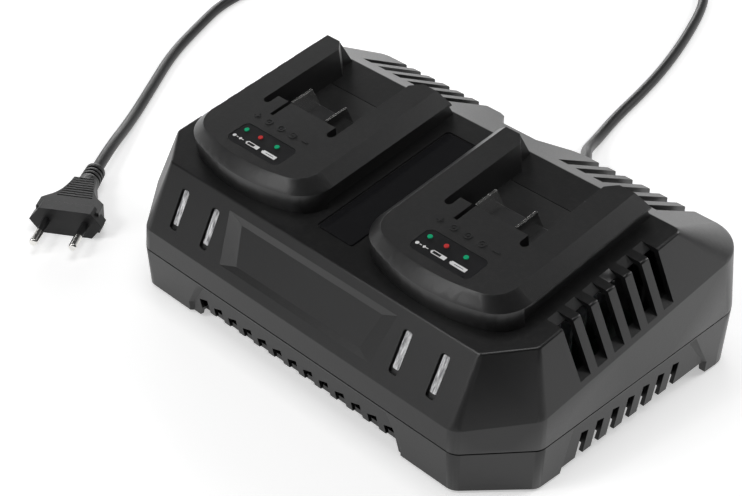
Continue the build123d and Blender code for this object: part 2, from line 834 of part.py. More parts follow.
for side, sign in (("left", -1), ("right", 1)):
    seat = Plane(
        origin=top.from_local_coords((sign * dock_spacing / 2, 0, 0)),
        x_dir=top.x_dir,
        z_dir=top.z_dir,
    )
    plate = seat.offset(dock_height)
    rear_lean = (dock_rear - plate_rear) / dock_height
    wall_rear = dock_rear - rear_lean * dock_wall_height
    foot_outline = dock_outline(
        seat, dock_half_width, dock_front, dock_rear, dock_front_radius, dock_corner_radius
    )
    brow_outline = dock_outline(
        seat.offset(dock_wall_height),
        dock_half_width,
        dock_front,
        wall_rear,
        dock_front_radius,
        dock_corner_radius,
    )
    plate_outline = dock_outline(
        plate, plate_half_width, plate_front, plate_rear, plate_front_radius, plate_corner_radius
    )

    with BuildPart() as dock:
        loft([foot_outline, brow_outline], ruled=True)
        loft([brow_outline, plate_outline], ruled=True)
        with BuildSketch(plate):
            with Locations((0, (dock_rear - pocket_front) / 2)):
                Rectangle(2 * pocket_half_width, pocket_length)
            for turn in (-1, 1):
                with Locations((turn * channel_middle, (dock_rear - channel_front) / 2)):
                    Rectangle(channel_width, channel_front + dock_rear - channel_width)
                with Locations((turn * channel_middle, channel_width / 2 - channel_front)):
                    Circle(channel_width / 2)
            with Locations((blade_places[0], -(blade_slot_front + pocket_front) / 2)):
                Rectangle(blade_slot_width, blade_slot_front - pocket_front)
            with BuildLine():
                Polyline(
                    (pocket_half_width, plate_rear - rail_end_chamfer),
                    (pocket_half_width + rail_end_chamfer, plate_rear + rear_lean),
                    (pocket_half_width + rail_end_chamfer, dock_rear + rear_lean),
                    (-pocket_half_width - rail_end_chamfer, dock_rear + rear_lean),
                    (-pocket_half_width - rail_end_chamfer, plate_rear + rear_lean),
                    (-pocket_half_width, plate_rear - rail_end_chamfer),
                    close=True,
                )
            make_face()
        extrude(amount=-dock_height, mode=Mode.SUBTRACT)
        with BuildSketch(across_y(seat, dock_rear + rail_groove_overrun)):
            for turn in (-1, 1):
                with Locations((turn * dock_half_width, (rail_groove_low + rail_groove_high) / 2)):
                    Rectangle(2 * rail_groove_depth, rail_groove_high - rail_groove_low)
        extrude(amount=rail_groove_front + dock_rear + rail_groove_overrun, mode=Mode.SUBTRACT)
        with BuildSketch(seat):
            with Locations((0, (dock_base_rear - dock_base_front) / 2)):
                Rectangle(2 * dock_base_half_width, dock_base_front + dock_base_rear)
        extrude(amount=-dock_floor)
        front_hollow = dock_outline(
            seat.offset(-dock_floor),
            dock_base_half_width - dock_wall,
            plate_front - dock_wall,
            -blade_slot_front - dock_wall,
            plate_front_radius,
            plate_corner_radius,
        )
        extrude(front_hollow, amount=dock_floor + dock_height - dock_wall, mode=Mode.SUBTRACT)
        with BuildSketch(seat.offset(board_level + led_board_thickness)):
            with Locations((display_place[0], -led_row)):
                with GridLocations(led_post_spacing, 0, 2, 1):
                    Circle(led_post_radius)
        extrude(amount=led_board_drop - led_board_thickness + dock_wall / 2)
        with BuildSketch(plate):
            with Locations(display_place):
                RectangleRounded(
                    display_length + 2 * led_clearance,
                    display_width + 2 * led_clearance,
                    label_radius + led_clearance,
                )
        extrude(amount=-label_sink, mode=Mode.SUBTRACT)
        with BuildSketch(plate):
            with Locations(*led_places):
                Circle(led_radius + led_clearance)
        extrude(amount=-2 * dock_wall, mode=Mode.SUBTRACT)
    dock.part.label = f"{side}_dock"
    export_step(dock.part, f"parts/{side}_dock.step")

    with BuildPart() as terminal_block:
        with BuildSketch(seat):
            with Locations((0, terminal_base_length / 2 - pocket_front + terminal_clearance)):
                Rectangle(2 * (channel_middle - channel_width / 2 - blade_clearance), terminal_base_length)
        extrude(amount=terminal_base_height)
        chamfer(terminal_block.faces().sort_by(Axis.Z)[-1].edges().group_by(Axis.Y)[-1], block_bevel)
        for place in blade_places:
            with BuildSketch(seat.offset(terminal_base_height)):
                with Locations((place, blade_foot_length / 2 - blade_front)):
                    Rectangle(blade_thickness, blade_foot_length)
            extrude(amount=-blade_root, mode=Mode.SUBTRACT)
    terminal_block.part.label = f"{side}_terminal_block"
    export_step(terminal_block.part, f"parts/{side}_terminal_block.step")

    with BuildPart() as blades:
        for place in blade_places:
            with BuildSketch(across_x(seat, place)):
                with BuildLine():
                    Polyline(
                        (-blade_front, terminal_base_height - blade_root),
                        (-blade_front, blade_height),
                        (blade_top_length - blade_front, blade_height),
                        (blade_foot_length - blade_front, terminal_base_height),
                        (blade_foot_length - blade_front, terminal_base_height - blade_root),
                        close=True,
                    )
                make_face()
            extrude(amount=blade_thickness / 2, both=True)
    blades.part.label = f"{side}_blades"
    export_step(blades.part, f"parts/{side}_blades.step")

    with BuildPart() as display_label:
        with BuildSketch(plate.offset(-label_sink)):
            with Locations(display_place):
                RectangleRounded(display_length, display_width, label_radius)
            with Locations(*led_places):
                Circle(led_radius + led_clearance, mode=Mode.SUBTRACT)
        extrude(amount=label_thickness)
    display_label.part.label = f"{side}_display_label"
    export_step(display_label.part, f"parts/{side}_display_label.step")

    led_sets = (("green_leds", led_green_places), ("red_led", (led_red_place,)))
    for name, places in led_sets:
        with BuildPart() as leds:
            with BuildSketch(seat.offset(board_level + led_board_thickness)):
                with Locations(*((place, -led_row) for place in places)):
                    Circle(led_radius)
            extrude(amount=led_board_drop - led_board_thickness + dock_wall + led_proud)
        leds.part.label = f"{side}_{name}"
        export_step(leds.part, f"parts/{side}_{name}.step")

    with BuildPart() as led_board:
        with BuildSketch(seat.offset(board_level)):
            with Locations((display_place[0], -led_row)):
                Rectangle(led_board_length, led_board_width)
        extrude(amount=led_board_thickness)
    led_board.part.label = f"{side}_led_board"
    export_step(led_board.part, f"parts/{side}_led_board.step")

    with BuildPart() as light_guides:
        guide_places = [(sign * place, height) for place, height in light_guide_places]
        with BuildSketch(front_face.offset(-light_guide_sink)):
            with Locations(*guide_places):
                RectangleRounded(light_guide_width, light_guide_length, light_guide_radius)
        extrude(amount=-light_guide_depth)
    light_guides.part.label = f"{side}_light_guides"
    export_step(light_guides.part, f"parts/{side}_light_guides.step")

with BuildPart() as centre_plate:
    with BuildSketch(top.offset(-centre_plate_thickness)):
        with Locations((0, (centre_plate_rear - centre_plate_front) / 2)):
            RectangleRounded(
                2 * centre_plate_half_width,
                centre_plate_front + centre_plate_rear,
                centre_plate_radius,
            )
    extrude(amount=centre_plate_thickness)
centre_plate.part.label = "centre_plate"
export_step(centre_plate.part, "parts/centre_plate.step")

# ---- Circuit board and what stands on it
board_top = board_height + board_thickness

with BuildPart() as circuit_board:
    with BuildSketch(parting.offset(board_height)):
        Rectangle(2 * board_half_length, 2 * board_half_width)
        with GridLocations(2 * standoff_x, 2 * standoff_y, 2, 2):
            Circle(board_screw_radius + screw_clearance, mode=Mode.SUBTRACT)
    extrude(amount=board_thickness)
circuit_board.part.label = "circuit_board"
export_step(circuit_board.part, "parts/circuit_board.step")

with BuildPart() as board_screws:
    with BuildSketch(parting.offset(board_top)):
        with GridLocations(2 * standoff_x, 2 * standoff_y, 2, 2):
            Circle(board_screw_head_radius)
    extrude(amount=board_screw_head_height)
    with BuildSketch(parting.offset(board_top)):
        with GridLocations(2 * standoff_x, 2 * standoff_y, 2, 2):
            Circle(board_screw_radius - board_screw_clearance)
    extrude(amount=floor_top - board_top + screw_clearance)
board_screws.part.label = "board_screws"
export_step(board_screws.part, "parts/board_screws.step")

with BuildPart() as transformer:
    with BuildSketch(parting.offset(board_top)):
        with Locations((transformer_x, 0)):
            Rectangle(transformer_core, transformer_yoke)
    extrude(amount=transformer_height)
    with BuildSketch(parting.offset(board_top + transformer_limb)):
        with Locations((transformer_x, 0)):
            Rectangle(transformer_core - 2 * transformer_limb, transformer_width)
    extrude(amount=transformer_height - 2 * transformer_limb)
transformer.part.label = "transformer"
export_step(transformer.part, "parts/transformer.step")

with BuildPart() as capacitors:
    with BuildSketch(parting.offset(board_top)):
        with Locations(*capacitor_places):
            Circle(capacitor_radius)
    extrude(amount=capacitor_height)
    fillet(capacitors.faces().sort_by(Axis.Z)[-2:].edges(), capacitor_round)
capacitors.part.label = "capacitors"
export_step(capacitors.part, "parts/capacitors.step")

fin_pitch = (heat_sink_length - heat_sink_fin_thickness) / (heat_sink_fin_count - 1)

with BuildPart() as heat_sinks:
    with BuildSketch(parting.offset(board_top)):
        for turn in (-1, 1):
            with Locations((turn * heat_sink_x, 0)):
                Rectangle(heat_sink_base, heat_sink_length)
            with Locations((turn * (heat_sink_x + heat_sink_fin_depth / 2), 0)):
                with GridLocations(0, fin_pitch, 1, heat_sink_fin_count):
                    Rectangle(heat_sink_fin_depth, heat_sink_fin_thickness)
    extrude(amount=heat_sink_height)
heat_sinks.part.label = "heat_sinks"
export_step(heat_sinks.part, "parts/heat_sinks.step")

with BuildPart() as choke:
    with BuildSketch(parting.offset(board_top)):
        with Locations((choke_x, choke_y)):
            Circle(choke_outer)
            Circle(choke_inner, mode=Mode.SUBTRACT)
    extrude(amount=choke_height)
    fillet(choke.faces().sort_by(Axis.Z)[-1].edges(), choke_round)
choke.part.label = "choke"
export_step(choke.part, "parts/choke.step")

fuse_axis = parting.from_local_coords((fuse_x - fuse_length / 2, fuse_y, board_top + fuse_rise))

with BuildPart() as fuse:
    with BuildSketch(Plane(fuse_axis, parting.y_dir, parting.x_dir)):
        Circle(fuse_radius)
    extrude(amount=fuse_length)
fuse.part.label = "fuse"
export_step(fuse.part, "parts/fuse.step")

with BuildPart() as fuse_clips:
    with BuildSketch(parting.offset(board_top)):
        with Locations((fuse_x, fuse_y)):
            with GridLocations(fuse_length - fuse_clip_width, 0, 2, 1):
                Rectangle(fuse_clip_width, 2 * fuse_radius + 2 * fuse_clip_wall)
    extrude(amount=fuse_rise)
    with BuildSketch(Plane(fuse_axis, parting.y_dir, parting.x_dir)):
        Circle(fuse_radius)
    extrude(amount=fuse_length, mode=Mode.SUBTRACT)
fuse_clips.part.label = "fuse_clips"
export_step(fuse_clips.part, "parts/fuse_clips.step")

with BuildPart() as terminal_connector:
    with BuildSketch(parting.offset(board_top)):
        with Locations((0, connector_y)):
            Rectangle(connector_length, connector_width)
    extrude(amount=connector_height)
    with BuildSketch(parting.offset(board_top + connector_height)):
        with Locations((0, connector_y)):
            with GridLocations(connector_length / 2, 0, 2, 1):
                Circle(connector_screw_radius)
    extrude(amount=-connector_height / 2, mode=Mode.SUBTRACT)
terminal_connector.part.label = "terminal_connector"
export_step(terminal_connector.part, "parts/terminal_connector.step")

# ---- Strain relief and the lead inside
groove_span = relief_length - relief_flange_thickness
relief_taper = (relief_root_radius - relief_tip_radius) / groove_span
groove_pitch = groove_span / (relief_groove_count + 2)

with BuildPart() as cable_strain_relief:
    with BuildSketch(Plane(exit_plane.origin, exit_plane.x_dir, -exit_plane.y_dir)):
        with BuildLine():
            Polyline(
                (0, -lower_wall - relief_clip_thickness),
                (relief_clip_radius, -lower_wall - relief_clip_thickness),
                (relief_clip_radius, -lower_wall),
                (relief_neck_radius, -lower_wall),
                (relief_neck_radius, 0),
                (relief_flange_radius, 0),
                (relief_flange_radius, relief_flange_thickness),
                (relief_root_radius, relief_flange_thickness),
                (relief_tip_radius, relief_length),
                (0, relief_length),
                close=True,
            )
        make_face()
    revolve(axis=Axis(exit_plane.origin, exit_plane.z_dir))
    for index in range(relief_groove_count):
        place = relief_flange_thickness + (index + 1) * groove_pitch
        radius = relief_root_radius - relief_taper * (place - relief_flange_thickness)
        with BuildSketch(exit_plane.offset(place)):
            Circle(2 * relief_root_radius)
            Circle(radius - relief_groove_depth, mode=Mode.SUBTRACT)
        extrude(amount=relief_groove_width, mode=Mode.SUBTRACT)
cable_strain_relief.part.label = "cable_strain_relief"
export_step(cable_strain_relief.part, "parts/cable_strain_relief.step")

with BuildPart() as inner_lead:
    with BuildSketch(exit_plane.offset(-lower_wall - relief_clip_thickness)):
        Circle(cord_radius)
    extrude(amount=-inner_lead_length)
inner_lead.part.label = "inner_lead"
export_step(inner_lead.part, "parts/inner_lead.step")

# ---- Plug, lying flat on the ground
heading = Vector(1, 0, 0).rotate(Axis.Z, plug_heading)
plug_plane = Plane(origin=(plug_x, plug_y, plug_thickness / 2), x_dir=heading, z_dir=(0, 0, 1))
plug_front = Plane(
    origin=plug_plane.origin, x_dir=heading.rotate(Axis.Z, 90), z_dir=heading
)

with BuildPart() as plug_body:
    with BuildSketch(plug_front):
        with BuildLine():
            Polyline(
                (plug_width / 2, 0),
                (plug_width / 2 - plug_corner, plug_thickness / 2),
                (plug_corner - plug_width / 2, plug_thickness / 2),
                (-plug_width / 2, 0),
                (plug_corner - plug_width / 2, -plug_thickness / 2),
                (plug_width / 2 - plug_corner, -plug_thickness / 2),
                close=True,
            )
        make_face()
    extrude(amount=-plug_flange_length)
    with BuildSketch(plug_plane.offset(-plug_body_thickness / 2)):
        with BuildLine():
            Polyline(
                (-plug_flange_length / 2, -plug_shoulder_half),
                (-plug_flange_length / 2, plug_shoulder_half),
                (plug_shoulder_round - plug_shoulder_length, plug_shoulder_half),
            )
            Line(
                (plug_shoulder_round - plug_shoulder_length, plug_shoulder_half),
                (-plug_shoulder_length, plug_shoulder_half - plug_shoulder_round),
            )
            Spline(
                (-plug_shoulder_length, plug_shoulder_half - plug_shoulder_round),
                (-plug_neck_start, plug_neck_half),
                tangents=((-1, -1.2), (-1, -0.1)),
            )
            Line((-plug_neck_start, plug_neck_half), (-plug_neck_start, -plug_neck_half))
            Spline(
                (-plug_neck_start, -plug_neck_half),
                (-plug_shoulder_length, plug_shoulder_round - plug_shoulder_half),
                tangents=((1, -0.1), (1, -1.2)),
            )
            Polyline(
                (-plug_shoulder_length, plug_shoulder_round - plug_shoulder_half),
                (plug_shoulder_round - plug_shoulder_length, -plug_shoulder_half),
                (-plug_flange_length / 2, -plug_shoulder_half),
            )
        make_face()
    extrude(amount=plug_body_thickness)
    for index in range(plug_grip_count):
        place = plug_grip_start + index * plug_grip_pitch
        reach = plug_flare_half - index * (plug_flare_half - plug_neck_half) / plug_grip_count
        with BuildSketch(plug_plane.offset(plug_body_thickness / 2)):
            with Locations((-place, 0)):
                Rectangle(plug_grip_width, plug_grip_share * reach)
        extrude(amount=-plug_grip_depth, mode=Mode.SUBTRACT)
    with BuildSketch(plug_plane):
        with BuildLine():
            Polyline(
                (-plug_tail_start, 0),
                (-plug_tail_start, plug_tail_root),
                (-plug_tail_end, plug_tail_tip),
                (-plug_tail_end, 0),
                close=True,
            )
        make_face()
    revolve(axis=Axis(plug_plane.origin, heading))
    for index in range(plug_ring_count):
        place = plug_tail_end - (index + 1) * plug_ring_pitch
        with BuildSketch(plug_front.offset(-place)):
            Circle(2 * plug_tail_root)
            Circle(plug_tail_tip - plug_ring_depth, mode=Mode.SUBTRACT)
        extrude(amount=plug_ring_width, mode=Mode.SUBTRACT)
    with BuildSketch(plug_front):
        with GridLocations(pin_spacing, 0, 2, 1):
            Circle(pin_neck_radius)
    extrude(amount=-pin_root, mode=Mode.SUBTRACT)
plug_body.part.label = "plug_body"
export_step(plug_body.part, "parts/plug_body.step")

with BuildPart() as plug_pins:
    with BuildSketch(plug_front.offset(sleeve_length)):
        with GridLocations(pin_spacing, 0, 2, 1):
            Circle(pin_radius)
    extrude(amount=pin_length - sleeve_length)
    tips = plug_pins.faces().sort_by(Axis(plug_front.origin, heading))
    fillet(tips[-2:].edges(), pin_tip_round)
    with BuildSketch(plug_front.offset(-pin_root)):
        with GridLocations(pin_spacing, 0, 2, 1):
            Circle(pin_neck_radius)
    extrude(amount=pin_root + sleeve_length)
plug_pins.part.label = "plug_pins"
export_step(plug_pins.part, "parts/plug_pins.step")

with BuildPart() as pin_sleeves:
    with BuildSketch(plug_front):
        with GridLocations(pin_spacing, 0, 2, 1):
            Circle(sleeve_radius)
            Circle(pin_neck_radius, mode=Mode.SUBTRACT)
    extrude(amount=sleeve_length)
pin_sleeves.part.label = "pin_sleeves"
export_step(pin_sleeves.part, "parts/pin_sleeves.step")

# ---- Cord: two free stretches and the coil between them
relief_tip = exit_plane.from_local_coords((0, 0, relief_length))
relief_run = exit_plane.from_local_coords((0, 0, relief_length + cord_first_run))
plug_tail = plug_front.from_local_coords((0, 0, -plug_tail_end))
plug_run = plug_front.from_local_coords((0, 0, -plug_tail_end - cord_last_run))
coil_top = coil_centre_y + coil_mean_radius
coil_left = coil_centre_x - coil_mean_radius

exit_route = (
    relief_tip,
    relief_run,
    (-6.0, 120.0, 22.3),
    (-17.0, 136.0, 18.5),
    (-29.0, 152.0, 9.5),
    (-38.0, 172.0, 3.6),
    (-47.0, 199.5, cord_radius),
    (-54.0, 229.0, cord_radius),
    (-63.0, 261.0, cord_radius),
    (-77.0, 300.0, cord_radius),
    (-97.0, 346.0, cord_radius),
    (-112.0, 366.0, cord_radius),
    (-137.0, coil_top, cord_radius),
    (coil_centre_x + coil_stub, coil_top, cord_radius),
)
plug_route = (
    (coil_left, coil_centre_y - coil_stub, cord_radius),
    (coil_left, coil_centre_y - coil_stub - coil_lead_out, cord_radius),
    (-233.0, 270.0, cord_radius),
    (-254.0, 238.0, cord_radius),
    (-277.0, 204.0, cord_radius),
    (-289.0, 166.0, cord_radius),
    (-284.0, 128.0, cord_radius),
    (-271.0, 100.0, cord_radius),
    (-254.0, 66.0, cord_radius),
    (-231.0, 33.0, cord_radius),
    (-211.0, 4.0, cord_radius),
    plug_run,
    plug_tail,
)


def bend_radii(route):
    """The largest arc that each corner leaves room for."""
    points = [Vector(*point) if isinstance(point, tuple) else point for point in route]
    radii = []
    for before, corner, after in zip(points, points[1:], points[2:]):
        turn = (corner - before).get_angle(after - corner)
        run = min((corner - before).length, (after - corner).length)
        radii.append(0.45 * run / tan(radians(turn / 2)))
    return radii


tube_length = 0.0
with BuildPart() as mains_cord:
    for route in (exit_route, plug_route):
        radii = bend_radii(route)
        with BuildLine() as path:
            FilletPolyline(*route, radius=radii)
        centreline = path.wire()
        with BuildSketch(Plane(origin=centreline @ 0, z_dir=centreline % 0)):
            Circle(cord_radius)
        sweep(path=centreline)
        tube_length += centreline.length
        print("cord bend radii", [round(radius, 1) for radius in radii])
mains_cord.part.label = "mains_cord"
export_step(mains_cord.part, "parts/mains_cord.step")
tube_section = pi * cord_radius**2
print("cord tube length", round(tube_length, 1))
print("volume against section times length", mains_cord.part.volume / (tube_section * tube_length))


def coil_profile(inset):
    """Rounded section of the wound coil, drawn in where the tie squeezes it."""
    middle = (coil_centre_x + coil_mean_radius, coil_centre_y, coil_height / 2)
    with BuildSketch(Plane(origin=middle, x_dir=(1, 0, 0), z_dir=(0, -1, 0))) as profile:
        RectangleRounded(coil_width - 2 * inset, coil_height - 2 * inset, coil_corner - inset)
    return profile.sketch


coil_axis = Axis((coil_centre_x, coil_centre_y, 0), (0, 0, 1))

with BuildPart() as coil_tie:
    revolve(coil_profile(0.0), axis=coil_axis, revolution_arc=tie_angle)
    revolve(
        coil_profile(tie_thickness),
        axis=coil_axis,
        revolution_arc=tie_angle,
        mode=Mode.SUBTRACT,
    )
coil_tie.part.label = "coil_tie"
export_step(coil_tie.part, "parts/coil_tie.step")

with BuildPart() as cord_coil:
    revolve(coil_profile(0.0), axis=coil_axis)
    add(coil_tie.part, mode=Mode.SUBTRACT)
    with BuildSketch(Plane((coil_centre_x, coil_top, cord_radius), (0, 1, 0), (1, 0, 0))):
        Circle(cord_radius)
    extrude(amount=coil_stub)
    with BuildSketch(Plane((coil_left, coil_centre_y, cord_radius), (1, 0, 0), (0, -1, 0))):
        Circle(cord_radius)
    extrude(amount=coil_stub)
cord_coil.part.label = "cord_coil"
export_step(cord_coil.part, "parts/cord_coil.step")
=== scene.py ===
# %% [markdown]
# # Two-dock battery charger
# A mains charger for two slide-on tool batteries: a wedge-shaped black housing on four feet, two
# docks on its pitched top, and a lead that ends in a flat two-pin plug. The CAD frame already has
# every rigid part in its real shape. This file gives each of them its finish, and adds what a
# solid model can't show well: the printed pictograms, the raised marks and the cord's own line.
# Parts of the charger are written in millimetres. The camera, the bench and the lamps are in
# metres.

from math import cos, pi, radians, sin

import bpy
import numpy as np
from mathutils import Matrix, Vector


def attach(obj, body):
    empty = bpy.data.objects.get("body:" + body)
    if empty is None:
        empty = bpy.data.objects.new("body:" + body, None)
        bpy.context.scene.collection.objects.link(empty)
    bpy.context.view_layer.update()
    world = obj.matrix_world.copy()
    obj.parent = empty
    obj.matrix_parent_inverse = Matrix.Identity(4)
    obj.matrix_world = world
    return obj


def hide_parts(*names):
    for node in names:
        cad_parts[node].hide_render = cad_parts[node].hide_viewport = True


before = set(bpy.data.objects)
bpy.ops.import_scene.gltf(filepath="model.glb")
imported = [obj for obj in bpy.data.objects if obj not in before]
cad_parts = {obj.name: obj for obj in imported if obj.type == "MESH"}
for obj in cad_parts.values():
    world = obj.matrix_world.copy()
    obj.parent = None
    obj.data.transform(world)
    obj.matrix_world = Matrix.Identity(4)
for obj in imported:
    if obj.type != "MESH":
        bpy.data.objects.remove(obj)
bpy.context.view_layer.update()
MM = 0.001


def add_object(name, data):
    """A new object for the data, linked to the scene."""
    obj = bpy.data.objects.new(name, data)
    bpy.context.scene.collection.objects.link(obj)
    return obj


print("nodes in the frame:", len(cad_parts))

# %% [markdown]
# ## Camera
# A product is usually shown through a long lens from a little above, so that its upright edges
# stay nearly parallel. A camera can be placed by angles, or by three axes written straight into
# its matrix. The axes are used here, because they are exact and need no target object.


# %%
# Camera: three axes and a place
def camera_from_axes(name, place, right, up, lens):
    """A camera whose matrix has right, up and backward as its columns, backward = right x up."""
    data = bpy.data.cameras.new(name)
    data.lens = lens
    data.sensor_width = 36.0
    data.clip_start = 0.01
    data.clip_end = 20.0
    obj = add_object(name, data)
    x_axis = Vector(right).normalized()
    y_axis = (Vector(up) - x_axis * x_axis.dot(Vector(up))).normalized()
    z_axis = x_axis.cross(y_axis)
    turn = Matrix((x_axis, y_axis, z_axis)).transposed().to_4x4()
    obj.matrix_world = Matrix.Translation(Vector(place)) @ turn
    return obj


camera = camera_from_axes(
    "camera",
    place=(0.41158, -0.45915, 0.45178),
    right=(0.700964, 0.712120, 0.039182),
    up=(-0.424414, 0.372352, 0.825364),
    lens=82.93,
)
bpy.context.scene.camera = camera
bpy.context.scene.view_settings.view_transform = "Standard"
print("camera at", [round(v, 3) for v in camera.location])

# %% [markdown]
# ## Mains lead
# The lead is 5.8 mm PVC cable. It leaves the tapered sleeve at the rear, droops to the bench, runs
# off in one slow curve, and comes back past the left side to the plug. The length in between is
# wound into a tied coil. One NURBS line carries all of it, so that it bends everywhere like one
# piece of cable. Its control points are the route of the CAD model, with the turns added.


# %%
# Places the route depends on
CORD_RADIUS = 2.9
BODY_PITCH = radians(3.2)
PARTING_HEIGHT = 25.6
STANCE_SHIFT = -0.16
SLEEVE_ROOT = 62.0
SLEEVE_LENGTH = 28.0
SLEEVE_AXIS = -8.0
SLEEVE_STRAIGHT = 14.0
PLUG_CENTRE = (-150.0, -82.0)
PLUG_AXIS = 6.85
PLUG_BEARING = radians(-54.2)
PLUG_TAIL = 47.0
PLUG_STRAIGHT = 20.0


def from_parting(x, y, z):
    """A point given along the pitched parting plane: turned about X by the pitch, then lifted."""
    return (
        x,
        STANCE_SHIFT + y * cos(BODY_PITCH) - z * sin(BODY_PITCH),
        PARTING_HEIGHT + y * sin(BODY_PITCH) + z * cos(BODY_PITCH),
    )


def behind_plug(distance):
    """A point on the plug's axis, at this distance from its centre on the cord's side."""
    return (
        PLUG_CENTRE[0] - distance * cos(PLUG_BEARING),
        PLUG_CENTRE[1] - distance * sin(PLUG_BEARING),
        PLUG_AXIS,
    )


sleeve_tip = from_parting(0.0, SLEEVE_ROOT + SLEEVE_LENGTH, SLEEVE_AXIS)
sleeve_run = from_parting(0.0, SLEEVE_ROOT + SLEEVE_LENGTH + SLEEVE_STRAIGHT, SLEEVE_AXIS)
plug_run = behind_plug(PLUG_TAIL + PLUG_STRAIGHT)
plug_tail = behind_plug(PLUG_TAIL)
print("cord from", np.round(sleeve_tip, 1), "to", np.round(plug_tail, 1))

# %%
# Route points. The cord lies on the bench where its height is its radius.
exit_route = [
    sleeve_tip,
    sleeve_run,
    (-6.0, 120.0, 22.3),
    (-17.0, 136.0, 18.5),
    (-29.0, 152.0, 9.5),
    (-38.0, 172.0, 3.6),
    (-47.0, 199.5, CORD_RADIUS),
    (-54.0, 229.0, CORD_RADIUS),
    (-63.0, 261.0, CORD_RADIUS),
    (-77.0, 300.0, CORD_RADIUS),
    (-97.0, 346.0, CORD_RADIUS),
    (-112.0, 366.0, CORD_RADIUS),
    (-137.0, 376.5, CORD_RADIUS),
    (-162.0, 376.5, CORD_RADIUS),
]
plug_route = [
    (-222.9, 331.0, 14.2),
    (-222.5, 318.0, 11.2),
    (-221.5, 305.0, 5.6),
    (-220.5, 291.0, CORD_RADIUS),
    (-233.0, 270.0, CORD_RADIUS),
    (-254.0, 238.0, CORD_RADIUS),
    (-277.0, 204.0, CORD_RADIUS),
    (-289.0, 166.0, CORD_RADIUS),
    (-284.0, 128.0, CORD_RADIUS),
    (-271.0, 100.0, CORD_RADIUS),
    (-254.0, 66.0, CORD_RADIUS),
    (-231.0, 33.0, CORD_RADIUS),
    (-211.0, 4.0, CORD_RADIUS),
    plug_run,
    plug_tail,
]
print("route points:", len(exit_route) + len(plug_route))


# %%
# Turns of the coil, as more control points of the same line
COIL_CENTRE = (-190.0, 345.0)
INNER, OUTER = 27.05, 32.95
LAYERS = (2.9, 8.7, 14.5)
POINTS_PER_TURN = 16

# Winding plan: angle in degrees along the cord, radius and height of the turn there. Each change
# of place happens before the turn below or beside it makes the same change.
WINDING = np.array(
    [
        (90.0, OUTER, LAYERS[0]),
        (395.0, OUTER, LAYERS[0]),
        (435.0, INNER, LAYERS[0]),
        (695.0, INNER, LAYERS[0]),
        (750.0, INNER, LAYERS[1]),
        (1015.0, INNER, LAYERS[1]),
        (1070.0, OUTER, LAYERS[1]),
        (1270.0, OUTER, LAYERS[1]),
        (1330.0, OUTER, LAYERS[2]),
        (1380.0, INNER, LAYERS[2]),
        (1670.0, INNER, LAYERS[2]),
        (1730.0, OUTER, LAYERS[2]),
        (1980.0, OUTER, LAYERS[2]),
    ]
)


def coil_points(winding, centre, per_turn):
    """Control points at even angles: radius and height follow the winding plan in straight ramps,
    and x = cx + r cos a, y = cy + r sin a. A quadratic B-spline runs inside its control polygon by
    the factor (3 + cos(step)) / 4, so the radius is divided by it."""
    step = 360.0 / per_turn
    angle = np.arange(winding[0, 0], winding[-1, 0] + step / 2, step)
    radius = np.interp(angle, winding[:, 0], winding[:, 1])
    height = np.interp(angle, winding[:, 0], winding[:, 2])
    radius = radius / ((3 + np.cos(np.radians(step))) / 4)
    x = centre[0] + radius * np.cos(np.radians(angle))
    y = centre[1] + radius * np.sin(np.radians(angle))
    return np.column_stack([x, y, height])


turns = coil_points(WINDING, COIL_CENTRE, POINTS_PER_TURN)
print("coil points:", len(turns))


# %%
# One NURBS line through route, coil and route
def nurbs_cord(name, points, radius):
    """A quadratic B-spline with these control points, clamped at its ends, with a round
    section."""
    curve = bpy.data.curves.new(name, "CURVE")
    curve.dimensions = "3D"
    spline = curve.splines.new("NURBS")
    spline.points.add(len(points) - 1)
    rows = np.column_stack([points * MM, np.ones(len(points))])
    spline.points.foreach_set("co", rows.astype(np.float32).ravel())
    # The measured box of a curve grows by its points' own radius, so that holds the real one.
    spline.points.foreach_set("radius", np.full(len(points), radius * MM, np.float32))
    spline.order_u = 3
    spline.use_endpoint_u = True
    spline.resolution_u = 8
    curve.bevel_depth = 1.0
    curve.bevel_resolution = 5
    curve.use_fill_caps = True
    return add_object(name, curve)


cord_line = np.vstack([np.array(exit_route), turns, np.array(plug_route)])
mains_cord = nurbs_cord("mains_cord_line", cord_line, CORD_RADIUS)
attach(mains_cord, "root")
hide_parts("mains_cord", "cord_coil")
print("control points:", len(cord_line))

# %% [markdown]
# ## Shared surface effects
# Injection moulds are spark-eroded, so the plastic has a fine pebbled skin. It shows as a soft,
# broken sheen and not as a pattern. One node group makes that skin for every moulding: it takes a
# colour, a roughness and a grain size, and gives back the varied colour, the varied roughness and
# a height for a Bump node. A second group adds what a workshop leaves behind: a fine, patchy dust
# on faces that look up. A node tree is easier to read when each small step is one line, so small
# helpers come first: each adds one node, links it, and gives back its output socket.


# %%
# One helper for each kind of node
def object_place(tree):
    """The object's own coordinates."""
    return tree.nodes.new("ShaderNodeTexCoord").outputs["Object"]


def noise(tree, vector, scale, detail=2.0, rough=0.5):
    """A noise texture on a vector. The scale is a number or a socket."""
    node = tree.nodes.new("ShaderNodeTexNoise")
    node.inputs["Detail"].default_value = detail
    node.inputs["Roughness"].default_value = rough
    tree.links.new(vector, node.inputs["Vector"])
    if isinstance(scale, (int, float)):
        node.inputs["Scale"].default_value = scale
    else:
        tree.links.new(scale, node.inputs["Scale"])
    return node.outputs["Fac"]


def maths(tree, operation, a, b=0.0, c=0.0, clamp=False):
    """One Math node. Each of a, b and c is a number or a socket."""
    node = tree.nodes.new("ShaderNodeMath")
    node.operation = operation
    node.use_clamp = clamp
    for index, value in enumerate((a, b, c)):
        if isinstance(value, (int, float)):
            node.inputs[index].default_value = value
        else:
            tree.links.new(value, node.inputs[index])
    return node.outputs[0]


